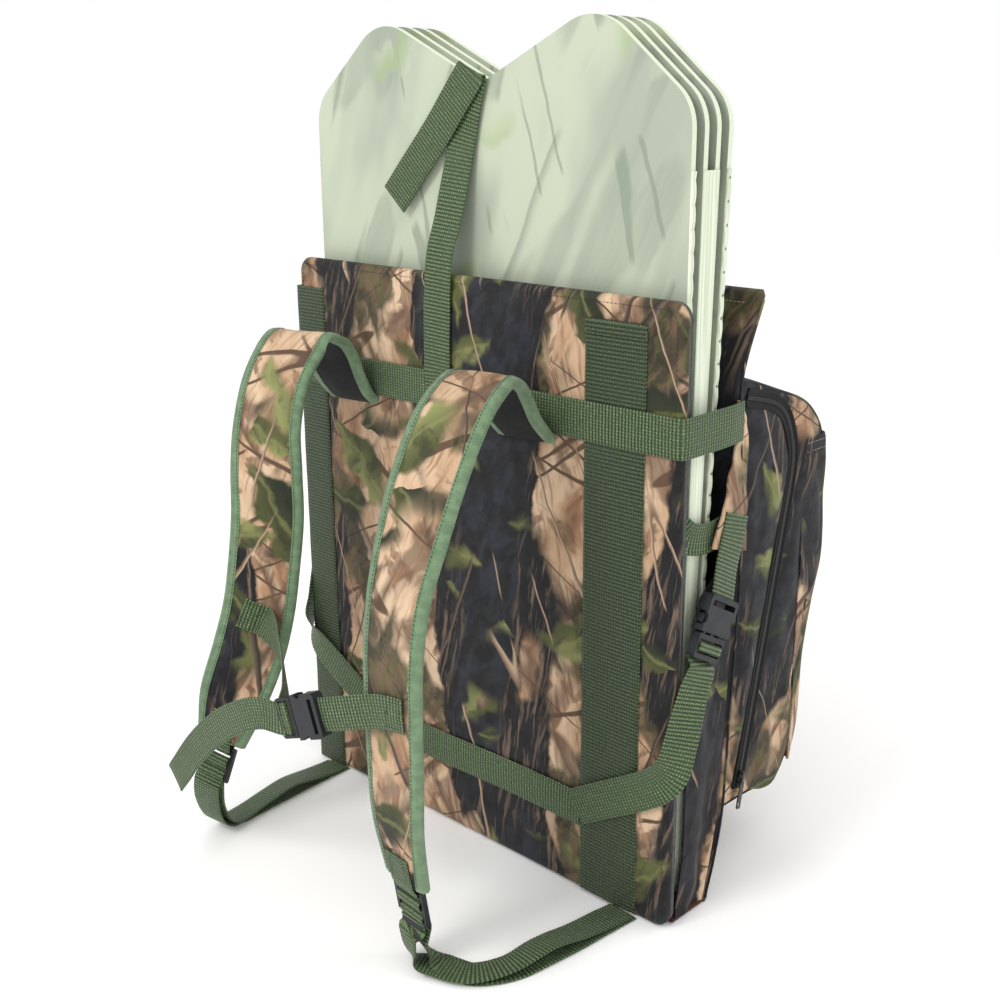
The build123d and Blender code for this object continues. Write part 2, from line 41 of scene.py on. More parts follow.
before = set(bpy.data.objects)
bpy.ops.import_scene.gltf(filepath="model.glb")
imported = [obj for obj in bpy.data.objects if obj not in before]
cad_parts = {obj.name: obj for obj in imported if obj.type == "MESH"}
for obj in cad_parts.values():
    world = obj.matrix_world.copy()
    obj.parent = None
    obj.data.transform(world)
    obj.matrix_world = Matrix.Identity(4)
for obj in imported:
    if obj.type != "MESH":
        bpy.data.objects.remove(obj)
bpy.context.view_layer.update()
MM = 0.001

# ---------------------------------------------------------------- sizes taken from the frame


def span(node):
    """Lowest and highest corner of a CAD node in millimetres."""
    low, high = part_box(node)
    return np.array(low) / MM, np.array(high) / MM


PANEL_LOW, PANEL_HIGH = span("back_panel_cover")
STRIP_LOW, STRIP_HIGH = span("web_strip_right")
LEFT_STRIP_LOW, LEFT_STRIP_HIGH = span("web_strip_left")
CROSS_LOW, CROSS_HIGH = span("upper_cross_strap")
LOWER_LOW, LOWER_HIGH = span("lower_cross_strap")
BOARD_LOW, BOARD_HIGH = span("blind_panel_1")
PANEL_FRONT = PANEL_LOW[1]
WEB_THICK = 1.6
WEB_MAIN = LOWER_HIGH[2] - LOWER_LOW[2]
WEB_SLIM = 32.0
RIB_PITCH = 3.9
PAD_EDGE = 2.4
BINDING_WIDTH = 10.0
FORWARD = (0, -1, 0)
PAD_CROWN = 6.6
PAD_UNDER = 5.2
# Where each cloth piece is cut from the print, across and up it.
PRINT_SHIFT = {"panel": (1440, 340), "right": (1300, 540), "left": (973, 400), "rear": (1250, 420),
               "gusset": (480, 1340), "bag": (1640, 900), "side": (2100, 300), "pocket": (260, 2050),
               "base": (330, 60), "tab": (520, 80)}

# ---------------------------------------------------------------- node graphs


def rgb(red, green, blue):
    """Linear colour from display values of 0 to 255."""
    linear = [c / 12.92 if c <= 0.04045 else ((c + 0.055) / 1.055) ** 2.4
              for c in (red / 255, green / 255, blue / 255)]
    return (*linear, 1.0)


class Graph:
    """A material's node tree, built by short calls that return output sockets."""

    def __init__(self, name):
        self.material = bpy.data.materials.new(name)
        self.material.use_nodes = True
        self.tree = self.material.node_tree
        self.shader = self.tree.nodes["Principled BSDF"]

    def put(self, socket, value):
        if isinstance(value, bpy.types.NodeSocket):
            self.tree.links.new(value, socket)
        else:
            socket.default_value = value

    def node(self, kind, inputs, **settings):
        made = self.tree.nodes.new("ShaderNode" + kind)
        for key, value in settings.items():
            setattr(made, key, value)
        for key, value in inputs.items():
            self.put(made.inputs[key], value)
        return made

    def math(self, operation, a, b=0.0):
        return self.node("Math", {0: a, 1: b}, operation=operation).outputs[0]

    def times(self, a, b):
        return self.math("MULTIPLY", a, b)

    def wave(self, value, rate):
        return self.math("SINE", self.times(value, rate))

    def vector(self, operation, a, b):
        return self.node("VectorMath", {0: a, 1: b}, operation=operation).outputs[0]

    def step(self, value, low, high, to_low=0.0, to_high=1.0):
        """Smooth rise of value from low to high."""
        inputs = {0: value, 1: low, 2: high, 3: to_low, 4: to_high}
        return self.node("MapRange", inputs, interpolation_type="SMOOTHSTEP").outputs[0]

    def mix(self, factor, a, b):
        return self.node("Mix", {0: factor, 6: a, 7: b}, data_type="RGBA").outputs[2]

    def noise(self, vector, scale=1.0, detail=3.0, rough=0.5, warp=0.0):
        inputs = {"Vector": vector, "Scale": scale, "Detail": detail, "Roughness": rough, "Distortion": warp}
        return self.node("TexNoise", inputs).outputs[0]

    def turn(self, vector, angle):
        """Vector turned about Z by radians."""
        wired = {"Vector": vector, "Angle": angle}
        return self.node("VectorRotate", wired, rotation_type="Z_AXIS").outputs[0]

    def grain(self, vector, turn, scale, detail=3.0, rough=0.5, shift=(0, 0), warp=0.0):
        """Noise stretched along a direction turned by degrees, with its own scale on each axis."""
        scale = scale if len(scale) == 3 else (*scale, 1)
        inputs = {0: self.turn(vector, math.radians(turn)), 1: (*shift, 0), 3: scale}
        return self.noise(self.node("Mapping", inputs).outputs[0], 1.0, detail, rough, warp)

    def ramp(self, factor, stops):
        made = self.node("ValToRGB", {0: factor})
        elements = made.color_ramp.elements
        while len(elements) < len(stops):
            elements.new(0.5)
        for element, (position, colour) in zip(elements, stops):
            element.position = position
            element.color = colour
        return made.outputs[0]

    def split(self, vector):
        return self.node("SeparateXYZ", {0: vector}).outputs

    def flat(self):
        """The piece's flat cloth coordinates, in metres."""
        return self.node("UVMap", {}, uv_map="flat").outputs[0]

    def object_place(self):
        return self.node("TexCoord", {}).outputs["Object"]

    def bump(self, height, distance, strength=1.0, normal=None):
        inputs = {"Height": height, "Distance": distance, "Strength": strength}
        if normal is not None:
            inputs["Normal"] = normal
        return self.node("Bump", inputs).outputs[0]

    def finish(self, colour=None, roughness=None, normal=None, **fixed):
        names = {"specular": "Specular IOR Level", "sheen": "Sheen Weight",
                 "sheen_roughness": "Sheen Roughness"}
        for key, value in (("Base Color", colour), ("Roughness", roughness), ("Normal", normal)):
            if value is not None:
                self.put(self.shader.inputs[key], value)
        for key, value in fixed.items():
            self.shader.inputs[names[key]].default_value = value
        return self.material


# ---------------------------------------------------------------- woodland print


TAN_LIGHT = rgb(210, 182, 152)
TAN = rgb(186, 152, 120)
RUST = rgb(142, 106, 80)
EARTH = rgb(92, 70, 54)
CHARCOAL = rgb(19, 19, 22)
NAVY = rgb(42, 44, 54)
BARK = rgb(108, 90, 76)
LEAF_DARK = rgb(36, 40, 26)
LEAF = rgb(78, 82, 44)
LEAF_LIGHT = rgb(140, 142, 88)
TWIG_LIGHT = rgb(188, 162, 136)


def scatter(g, vector, cells, seed):
    """Local coordinates round randomly turned points, with a random value for each point."""
    shifted = g.vector("ADD", vector, (seed * 0.37, seed * 0.61, 0))
    cell = g.node("TexVoronoi", {"Vector": shifted, "Scale": cells}, voronoi_dimensions="2D")
    local = g.vector("SUBTRACT", shifted, cell.outputs["Position"])
    chance = g.split(cell.outputs["Color"])
    return g.split(g.turn(local, g.times(chance[0], math.tau))), chance


def leaf(g, vector, cells, length, width, seed, share):
    """Lobed leaves with soft outlines: a mask, the shade across, the rib and a random value."""
    (along, across, _), chance = scatter(g, vector, cells, seed)
    reach = g.math("DIVIDE", along, length)
    taper = g.math("SUBTRACT", 1.0, g.times(reach, reach))
    lobes = g.math("ABSOLUTE", g.wave(along, 4.4 / length))
    half = g.times(taper, g.math("ADD", g.times(lobes, 0.4 * width), 0.6 * width))
    away = g.math("ABSOLUTE", across)
    inside = g.step(g.math("SUBTRACT", half, away), -0.002, 0.0065)
    mask = g.times(inside, g.math("LESS_THAN", chance[1], share))
    return mask, g.step(across, -0.6 * width, 0.8 * width), g.step(away, 0.0, 0.004, 0.4, 0.0), chance[2]


def twigs(g, vector, turn, across, along, shift, width, low):
    """Long thin branches along one direction: a mask and a position across the branch."""
    field = g.grain(vector, turn, (across, along), 0.5, 0.3, (shift, shift * 1.7))
    ridge = g.math("SUBTRACT", field, 0.5)
    mask = g.step(g.math("ABSOLUTE", ridge), width * 0.5, width, 1.0, 0.0)
    where = g.grain(vector, turn, (9, 6), 1.0, 0.5, (shift * 3, 2.0))
    return g.times(mask, g.step(where, low, low + 0.04)), g.step(ridge, -width, width)


def warped(g, flat, scale, reach):
    """Coordinates pushed about by a smooth noise."""
    warp = g.node("TexNoise", {"Vector": flat, "Scale": scale, "Detail": 3.0}).outputs["Color"]
    centred = g.vector("SUBTRACT", warp, (0.5, 0.5, 0.5))
    return g.vector("ADD", flat, g.vector("MULTIPLY", centred, (reach, reach, reach)))


def woodland(g, flat):
    """Generic woodland print in flat cloth coordinates: colour."""
    loose = warped(g, flat, 26.0, 0.030)
    stiff = warped(g, flat, 16.0, 0.012)

    ground = g.grain(loose, 18, (20, 6), 4.0, 0.55)
    colour = g.ramp(ground, [(0.30, EARTH), (0.38, RUST), (0.46, TAN), (0.60, TAN_LIGHT)])
    fibre = g.grain(stiff, -14, (190, 20), 2.0, 0.55)
    streak = g.step(fibre, 0.4, 0.6)
    colour = g.mix(g.step(fibre, 0.52, 0.72, 0.0, 0.75), colour, RUST)
    litter = g.grain(loose, 42, (44, 17), 3.0, 0.6, (5.0, 2.0))
    colour = g.mix(g.step(litter, 0.54, 0.62, 0.0, 0.75), colour, g.mix(streak, EARTH, RUST))
    smoke = g.grain(loose, -36, (17, 8), 3.0, 0.55, (9.0, 4.0))
    colour = g.mix(g.step(smoke, 0.55, 0.63, 0.0, 0.7), colour, EARTH)

    for branch in ((34, 15, 1.5, 1.3, 0.050, 0.46), (-38, 13, 1.3, 7.9, 0.055, 0.50)):
        mask, edge = twigs(g, stiff, *branch)
        colour = g.mix(mask, colour, g.mix(edge, EARTH, g.mix(streak, RUST, TWIG_LIGHT)))
    for branch in ((62, 17, 1.2, 4.4, 0.011, 0.40), (-64, 15, 1.1, 2.2, 0.010, 0.44)):
        colour = g.mix(twigs(g, stiff, *branch)[0], colour, EARTH)

    mottle = g.grain(loose, 30, (60, 24), 3.0, 0.6)
    shade = g.grain(loose, -14, (12, 5.0), 3.0, 0.5, (3.1, 0.4))
    dim = g.mix(g.step(mottle, 0.42, 0.6), LEAF_DARK, g.mix(streak, EARTH, LEAF))
    colour = g.mix(g.step(shade, 0.52, 0.58, 0.0, 0.9), colour, dim)

    trunk = g.grain(loose, 10, (6.6, 2.0), 2.5, 0.4, (0.7, 5.3))
    furrow = g.grain(stiff, 10, (150, 15), 3.0, 0.62, warp=0.5)
    bark = g.mix(g.step(furrow, 0.50, 0.66), CHARCOAL, BARK)
    core = g.mix(g.step(mottle, 0.40, 0.66, 0.0, 0.8), CHARCOAL, NAVY)
    colour = g.mix(g.step(trunk, 0.494, 0.512), colour, g.mix(g.step(trunk, 0.53, 0.60), bark, core))

    gate = g.step(g.grain(flat, 0, (6, 6), 2.0, 0.5, (4.4, 1.9)), 0.47, 0.54)
    for size in ((8, 0.075, 0.028, 3, 0.7), (6.5, 0.095, 0.034, 8, 0.6), (12, 0.048, 0.018, 5, 0.5)):
        mask, side, rib, chance = leaf(g, loose, *size)
        low = g.mix(g.step(chance, 0.45, 0.6), LEAF, LEAF_DARK)
        tone = g.mix(side, low, g.mix(g.step(chance, 0.25, 0.6), LEAF_LIGHT, LEAF))
        tone = g.mix(g.step(mottle, 0.45, 0.65, 0.0, 0.65), tone, LEAF_DARK)
        colour = g.mix(g.times(mask, gate), colour, g.mix(rib, tone, LEAF_LIGHT))

    mask, edge = twigs(g, stiff, 24, 12, 1.0, 14.4, 0.012, 0.50)
    colour = g.mix(mask, colour, g.mix(edge, CHARCOAL, BARK))
    mask, edge = twigs(g, stiff, -22, 13, 1.1, 11.2, 0.010, 0.48)
    return g.mix(mask, colour, g.mix(edge, EARTH, TWIG_LIGHT))


def weave_height(g, flat, pitch):
    """Plain weave: threads that cross over and under at one pitch."""
    u, v, _ = g.split(flat)
    return g.times(g.wave(u, math.pi / pitch), g.wave(v, math.pi / pitch))


def camo_cloth():
    g = Graph("camo_cloth")
    flat = g.flat()
    weave = weave_height(g, flat, 0.0011)
    # Painted shade: the print is darkened towards near-black in the hollows of the weave.
    colour = g.mix(g.step(weave, -1.0, 1.0, 0.14, 0.0), woodland(g, flat), rgb(20, 18, 16))
    normal = g.bump(g.grain(flat, 20, (22, 34)), 0.0022, 0.6, g.bump(weave, 0.00012, 0.5))
    roughness = g.step(g.noise(flat, 60.0, 2.0), 0.3, 0.7, 0.62, 0.8)
    return g.finish(colour, roughness, normal, specular=0.28, sheen=0.06, sheen_roughness=0.5)


# ---------------------------------------------------------------- other materials


def webbing(name, rib_shade_colour, lit_colour, glint_colour):
    """Ribbed nylon webbing, with painted shade in the rib hollows, painted highlights on the rib crests and
    painted glints on raised yarns; the flat coordinates are across and along the web.
    """
    g = Graph(name)
    flat = g.flat()
    u, v, _ = g.split(flat)
    pitch = RIB_PITCH * MM
    column = g.wave(u, math.tau / 0.0031)
    skew = g.times(g.wave(u, math.tau / 0.0062), pitch * 0.04)
    rib = g.wave(g.math("ADD", v, skew), math.tau / pitch)
    yarn = g.grain(flat, 0, (900, 420), 2.0, 0.6)
    fade = g.step(g.grain(flat, 0, (14, 9), 2.0), 0.3, 0.7, 0.0, 0.25)
    rib_shade = g.mix(fade, rib_shade_colour, lit_colour)
    lit = g.mix(fade, lit_colour, rib_shade_colour)
    glint = g.times(g.step(column, 0.0, 1.0), g.step(yarn, 0.42, 0.62))
    glint = g.times(glint, g.step(rib, -0.4, 0.6, 0.15, 0.8))
    # Painted light: the shade colour fills the rib hollows, the lit colour the rib crests, and pale painted
    # glints sit on raised yarns.
    colour = g.mix(glint, g.mix(g.step(rib, -0.7, 0.6), rib_shade, lit), glint_colour)
    height = g.math("ADD", g.times(rib, 0.7), g.times(column, 0.3))
    normal = g.bump(yarn, 0.0002, 0.5, g.bump(height, 0.0007))
    roughness = g.step(yarn, 0.3, 0.7, 0.42, 0.62)
    return g.finish(colour, roughness, normal, specular=0.35, sheen=0.08, sheen_roughness=0.4)


def binding_tape():
    """Flat woven edge tape, paler than the webbing."""
    g = Graph("binding")
    flat = g.flat()
    u, v, _ = g.split(flat)
    twill = g.wave(g.math("ADD", u, g.times(v, 1.2)), math.tau / 0.0019)
    worn = g.noise(flat, 90.0, 3.0)
    colour = g.mix(g.step(worn, 0.35, 0.65), rgb(80, 106, 76), rgb(106, 132, 98))
    # Painted highlight: the tape is paler on the twill ridges that also make the bump.
    colour = g.mix(g.step(twill, -1.0, 1.0, 0.0, 0.4), colour, rgb(138, 162, 128))
    normal = g.bump(twill, 0.00025, 0.7)
    return g.finish(colour, g.step(worn, 0.3, 0.7, 0.55, 0.72), normal, specular=0.4, sheen=0.2,
                    sheen_roughness=0.4)


def dark_cloth(name, low, high, pitch):
    """Plain nylon for linings and the sleeve's base."""
    g = Graph(name)
    flat = g.flat()
    weave = weave_height(g, flat, pitch)
    cloud = g.noise(flat, 24.0, 4.0)
    colour = g.mix(g.step(cloud, 0.3, 0.7), low, high)
    # Painted shade: darker towards near-black in the hollows of the weave.
    colour = g.mix(g.step(weave, -1.0, 1.0, 0.25, 0.0), colour, rgb(8, 8, 8))
    normal = g.bump(cloud, 0.003, 0.5, g.bump(weave, 0.0002, 0.6))
    return g.finish(colour, g.step(cloud, 0.3, 0.7, 0.6, 0.78), normal, specular=0.22, sheen=0.04)


def foam():
    g = Graph("foam")
    cells = g.node("TexVoronoi", {"Vector": g.object_place(), "Scale": 900.0}).outputs["Distance"]
    colour = g.mix(g.step(cells, 0.2, 0.7), rgb(60, 60, 58), rgb(96, 96, 92))
    return g.finish(colour, 0.9, g.bump(cells, 0.0004), specular=0.2)


def moulded_plastic():
    """Black acetal of buckles and ladder locks, with a fine moulded grain and edges made lighter where the
    surface is most convex.
    """
    g = Graph("buckle_plastic")
    place = g.object_place()
    grain = g.noise(place, 2600.0, 2.0, 0.6)
    convexity = g.node("NewGeometry", {}).outputs["Pointiness"]
    cloud = g.noise(place, 70.0, 3.0)
    colour = g.mix(g.step(cloud, 0.35, 0.65), rgb(10, 10, 12), rgb(18, 18, 20))
    # Lighter on the most convex edges.
    colour = g.mix(g.step(convexity, 0.52, 0.62, 0.0, 0.3), colour, rgb(60, 62, 66))
    return g.finish(colour, g.step(cloud, 0.3, 0.7, 0.34, 0.48), g.bump(grain, 0.00008, 0.5), specular=0.28)


def zipper():
    """Black zipper coil and tape."""
    g = Graph("zipper")
    flat = g.flat()
    teeth = g.wave(g.split(flat)[1], math.tau / 0.0021)
    weave = g.grain(flat, 0, (1200, 500), 1.0)
    # Painted light: the teeth are paler on their crests and darker between them, following the relief of the
    # bump.
    colour = g.mix(g.step(teeth, -0.5, 0.9), rgb(12, 12, 13), rgb(44, 44, 46))
    colour = g.mix(g.step(weave, 0.4, 0.7, 0.0, 0.4), colour, rgb(52, 52, 54))
    return g.finish(colour, g.step(weave, 0.3, 0.7, 0.35, 0.55), g.bump(teeth, 0.0004, 0.7), specular=0.5)


def streaked(name, low, high, scale, detail, edges, dull, relief, specular, rough=0.5):
    """Two tones mixed by one noise, which is also the relief: metal, thread, tape and sheet plastic."""
    g = Graph(name)
    field = g.grain(g.object_place(), 0, scale, detail, rough)
    colour = g.mix(g.step(field, *edges), low, high)
    return g.finish(colour, g.step(field, 0.3, 0.7, *dull), g.bump(field, relief), specular=specular)


def thread(name, low, high):
    return streaked(name, low, high, (1800, 1800, 1800), 2.0, (0.35, 0.65), (0.45, 0.6), 0.0001, 0.4)


BLIND_PALE = rgb(178, 186, 165)
BLIND_MIST = rgb(156, 164, 148)
BLIND_GREY = rgb(120, 130, 116)
BLIND_LEAF = rgb(150, 168, 116)
BLIND_EDGE = rgb(222, 228, 206)


def blind_board():
    """Pale board with a washed-out print on its faces and a bare, lighter edge."""
    g = Graph("blind_board")
    place = g.object_place()
    x, y, z = g.split(place)
    flat = g.node("CombineXYZ", {0: x, 1: z, 2: g.times(y, 0.2)}).outputs[0]
    loose = warped(g, flat, 16.0, 0.012)
    haze = g.grain(loose, 14, (7, 2.4), 3.0, 0.5, (1.2, 0.3))
    colour = g.mix(g.step(haze, 0.44, 0.58), BLIND_PALE, BLIND_MIST)
    trunk = g.grain(loose, 26, (11, 2.2), 2.0, 0.45, (3.3, 7.2))
    furrow = g.grain(loose, 26, (190, 16), 3.0, 0.6)
    colour = g.mix(g.step(trunk, 0.55, 0.59, 0.0, 0.55), colour, g.mix(furrow, BLIND_GREY, BLIND_MIST))
    mask, edge = twigs(g, loose, 24, 12, 0.9, 5.1, 0.035, 0.44)
    colour = g.mix(g.times(mask, 0.7), colour, g.mix(edge, BLIND_GREY, BLIND_PALE))
    mask, edge = twigs(g, loose, -18, 14, 0.8, 9.4, 0.018, 0.46)
    colour = g.mix(g.times(mask, 0.6), colour, BLIND_GREY)
    mask, side, _, _ = leaf(g, loose, 12, 0.045, 0.02, 6, 0.5)
    gate = g.step(g.noise(flat, 6.0, 1.0), 0.5, 0.56)
    colour = g.mix(g.times(g.times(mask, gate), 0.6), colour, g.mix(side, BLIND_LEAF, BLIND_PALE))
    facing = g.split(g.node("TexCoord", {}).outputs["Normal"])[1]
    flute = g.wave(y, math.tau / 0.0016)
    bare = g.mix(g.step(flute, -1.0, 1.0, 0.0, 0.5), BLIND_EDGE, rgb(172, 184, 154))
    colour = g.mix(g.step(g.math("ABSOLUTE", facing), 0.7, 0.9), bare, colour)
    normal = g.bump(g.grain(place, 0, (3, 3, 3), 2.0), 0.004, 0.35)
    return g.finish(colour, g.step(haze, 0.3, 0.7, 0.42, 0.55), normal, specular=0.4)


CAMO = camo_cloth()
# Each webbing takes a colour for painted shade in its rib hollows, a lit colour for painted highlights on its
# crests and a pale colour for painted glints.
WEB = webbing("webbing", rgb(28, 42, 24), rgb(84, 106, 66), rgb(154, 172, 132))
WEB_DARK = webbing("webbing_strip", rgb(22, 34, 20), rgb(60, 76, 46), rgb(108, 124, 90))
TAPE = binding_tape()
# Near-black lining, partly its own colour and partly painted shade: it is set this dark so the pad undersides
# under the strap crests look shaded.
LINING_WITH_PAINTED_SHADE = dark_cloth("lining", rgb(9, 9, 10), rgb(22, 22, 23), 0.0013)
BASE = dark_cloth("base_cloth", rgb(52, 32, 26), rgb(84, 52, 40), 0.0014)
FOAM = foam()
STIFF = streaked("stiffener", rgb(26, 26, 28), rgb(48, 48, 50), (40, 40, 400), 3.0, (0.3, 0.7), (0.35, 0.5),
                 0.0002, 0.5)
PLASTIC = moulded_plastic()
ZIPPER = zipper()
SLIDER = streaked("slider_paint", rgb(24, 24, 26), rgb(92, 90, 88), (420, 420, 420), 4.0, (0.58, 0.66),
                  (0.28, 0.45), 0.00006, 0.6, 0.6)
THREAD = thread("thread_green", rgb(46, 72, 44), rgb(74, 104, 68))
THREAD_PALE = thread("thread_pale", rgb(150, 132, 108), rgb(196, 178, 150))
THREAD_DARK = thread("thread_dark", rgb(24, 24, 24), rgb(58, 54, 48))
EYELET = thread("lace_eyelet", rgb(96, 112, 84), rgb(138, 154, 122))
BOARD = blind_board()
BOARD_TAPE = streaked("blind_tape", rgb(196, 206, 180), rgb(230, 236, 216), (60, 700, 6), 2.0, (0.35, 0.65),
                      (0.35, 0.5), 0.0005, 0.45)

# ---------------------------------------------------------------- mesh helpers


def noise2(u, v, size, seed):
    """Smooth random height from -1 to 1 over a lattice of the given cell size."""
    lattice = np.random.default_rng(seed).uniform(-1, 1, (64, 64))
    a = np.asarray(u, float) / size
    b = np.asarray(v, float) / size
    i, j = np.floor(a).astype(int), np.floor(b).astype(int)
    s, t = a - i, b - j
    s, t = s * s * (3 - 2 * s), t * t * (3 - 2 * t)

    def at(p, q):
        return lattice[p % 64, q % 64]

    low = at(i, j) * (1 - s) + at(i + 1, j) * s
    high = at(i, j + 1) * (1 - s) + at(i + 1, j + 1) * s
    return low * (1 - t) + high * t


def coords(*columns):
    """Coordinates joined into points; each may be a number or an array."""
    return np.stack(np.broadcast_arrays(*columns), -1).astype(float)


def arc_length(path):
    """Distance along a path at each of its points."""
    return np.concatenate([[0], np.cumsum(np.linalg.norm(np.diff(path, axis=0), axis=1))])


def at_places(places, length, path):
    """Points of a path at the given distances along it."""
    return np.stack([np.interp(places, length, column) for column in np.transpose(path)], -1)


def smooth_rows(rows, spacing):
    """Catmull-Rom curve through rows of numbers, whose first three are a place, evenly spaced."""
    rows = np.array(rows, float)
    padded = np.vstack([2 * rows[0] - rows[1], rows, 2 * rows[-1] - rows[-2]])
    fine = []
    t = np.linspace(0, 1, 24, endpoint=False)[:, None]
    for a, b, c, d in zip(padded, padded[1:], padded[2:], padded[3:]):
        fine.append(0.5 * (2 * b + (c - a) * t + (2 * a - 5 * b + 4 * c - d) * t ** 2
                           + (3 * b - a - 3 * c + d) * t ** 3))
    fine = np.vstack(fine + [rows[-1:]])
    length = arc_length(fine[:, :3])
    even = np.linspace(0, length[-1], max(3, int(round(length[-1] / spacing)) + 1))
    return at_places(even, length, fine), even


def smooth_profile(profile, spacing):
    """Smooth curve through (y, z) points, with its length and its directions along and across."""
    path, length = smooth_rows([(y, z, 0) for y, z in profile], spacing)
    along = unit_rows(np.gradient(path[:, :2], axis=0))
    return path[:, :2], length, coords(along[:, 1], -along[:, 0])


def unit_rows(v):
    return v / np.linalg.norm(v, axis=-1, keepdims=True)


def frames_along(points, across):
    """Side and outward directions along a curve, from a rough across direction."""
    tangent = unit_rows(np.gradient(points, axis=0))
    side = unit_rows(across - tangent * np.sum(across * tangent, axis=1, keepdims=True))
    return side, np.cross(tangent, side)


def mesh_object(name, points, faces, flat=None, kinds=None, materials=(), sharp=40):
    """Object from millimetre points, with flat cloth coordinates given for each face corner."""
    mesh = bpy.data.meshes.new(name)
    mesh.from_pydata((np.asarray(points, float) * MM).tolist(), [], [list(map(int, f)) for f in faces])
    if flat is not None:
        layer = mesh.uv_layers.new(name="flat")
        layer.data.foreach_set("uv", (np.asarray(flat, float) * MM).astype(np.float32).ravel())
    for material in materials:
        mesh.materials.append(material)
    if kinds is not None:
        mesh.polygons.foreach_set("material_index", np.asarray(kinds, np.int32))
    mesh.validate()
    mesh.shade_smooth()
    mesh.set_sharp_from_angle(angle=math.radians(sharp))
    obj = bpy.data.objects.new(name, mesh)
    bpy.context.scene.collection.objects.link(obj)
    return obj


def loft(name, rings, flat, materials, kinds=None, caps=True, sharp=40):
    """Closed tube of rings; flat has one more column than the rings for the seam."""
    n, m = rings.shape[:2]
    points = rings.reshape(-1, 3)
    faces, uv, kind = [], [], []
    for i in range(n - 1):
        for j in range(m):
            k = (j + 1) % m
            faces.append((i * m + j, i * m + k, (i + 1) * m + k, (i + 1) * m + j))
            uv += [flat[i, j], flat[i, j + 1], flat[i + 1, j + 1], flat[i + 1, j]]
            kind.append(0 if kinds is None else kinds[j])
    if caps:
        for i in (0, n - 1):
            ring = [i * m + j for j in range(m)]
            order = ring[::-1] if i == 0 else ring
            faces.append(order)
            uv += [flat[i, j % m] for j in (range(m - 1, -1, -1) if i == 0 else range(m))]
            kind.append(0)
    return mesh_object(name, points, faces, uv, kind, materials, sharp)


def shell(name, front, back, flat, materials, back_kind=0, sharp=40, joined=False, kinds=None):
    """Closed sheet between a front and a back grid of the same size.

    The grids run so that front faces look along the cross product of columns and rows.
    """
    n, m = front.shape[:2]
    points = np.vstack([front.reshape(-1, 3), back.reshape(-1, 3)])
    shift = n * m
    faces, uv, kind = [], [], []

    def quad(corners, kind_of):
        faces.append([c[0] * m + c[1] + c[2] * shift for c in corners])
        uv.extend(flat[c[0], c[1]] for c in corners)
        kind.append(kind_of)

    for i in range(n - 1):
        for j in range(m - 1):
            kind_of = 0 if kinds is None else kinds[i, j]
            quad([(i, j, 0), (i, j + 1, 0), (i + 1, j + 1, 0), (i + 1, j, 0)], kind_of)
            quad([(i, j, 1), (i + 1, j, 1), (i + 1, j + 1, 1), (i, j + 1, 1)], back_kind)
    for i in range(n - 1):
        quad([(i, 0, 0), (i + 1, 0, 0), (i + 1, 0, 1), (i, 0, 1)], 0)
        quad([(i, m - 1, 0), (i, m - 1, 1), (i + 1, m - 1, 1), (i + 1, m - 1, 0)], 0)
    for j in range(m - 1):
        quad([(0, j, 0), (0, j, 1), (0, j + 1, 1), (0, j + 1, 0)], 0)
        quad([(n - 1, j, 0), (n - 1, j + 1, 0), (n - 1, j + 1, 1), (n - 1, j, 1)], 0)
    obj = mesh_object(name, points, faces, uv, kind, materials, sharp)
    if joined:
        weld(obj)
    return obj


def weld(obj):
    """Join points that lie together, where two grids share their rim."""
    made = bmesh.new()
    made.from_mesh(obj.data)
    bmesh.ops.remove_doubles(made, verts=made.verts, dist=0.00002)
    bmesh.ops.dissolve_degenerate(made, edges=made.edges, dist=0.00001)
    bmesh.ops.recalc_face_normals(made, faces=made.faces)
    made.to_mesh(obj.data)
    made.free()


def settle(obj, body, nodes=(), bend=None):
    """The piece rides on a body, or only has its transform baked in when bend is given, and hides the CAD
    nodes it stands for.
    """
    if bend is None:
        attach(obj, body)
    if nodes:
        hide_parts(*nodes)
    if bend is not None:
        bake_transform(obj)


def web_section(half, thick, columns=9):
    """Flat rounded section of a web as (across, outward) points, front first."""
    a = np.linspace(-half, half, columns)
    front = [(x, thick / 2) for x in a]
    back = [(x, -thick / 2) for x in a[::-1]]
    bulge = thick * 0.35
    return np.array(front + [(half + bulge, 0)] + back + [(-half - bulge, 0)])


def facing(points, across=(1, 0, 0)):
    """Stations of a web that lies across one direction."""
    return [(*point, *across) for point in points]


def web(name, stations, width, ribs=0.24, spacing=1.3, cup=0.0, wave=0.0, seed=1, material=None):
    """Ribbed web through stations: a place and the direction across the web."""
    even, length = smooth_rows(stations, spacing)
    side, out = frames_along(even[:, :3], even[:, 3:6])
    section = web_section(width / 2, WEB_THICK)
    a, n = (np.tile(column, (len(even), 1)) for column in section.T)
    rib = np.sin(math.tau * length / RIB_PITCH)[:, None]
    n += np.sign(n) * ribs * rib * (np.abs(a) < width / 2 + 0.01)
    a *= 1 + 0.006 * rib
    n += cup * (1 - (2 * a / width) ** 2)
    n += wave * noise2(a * 0.8 + 50, length[:, None] + 0 * a, 24, seed)
    rings = even[:, None, :3] + a[:, :, None] * side[:, None] + n[:, :, None] * out[:, None]
    flat = coords(np.append(section[:, 0], section[0, 0]) + seed * 13, length[:, None])
    return loft(name, rings, flat, [material or WEB], sharp=60)


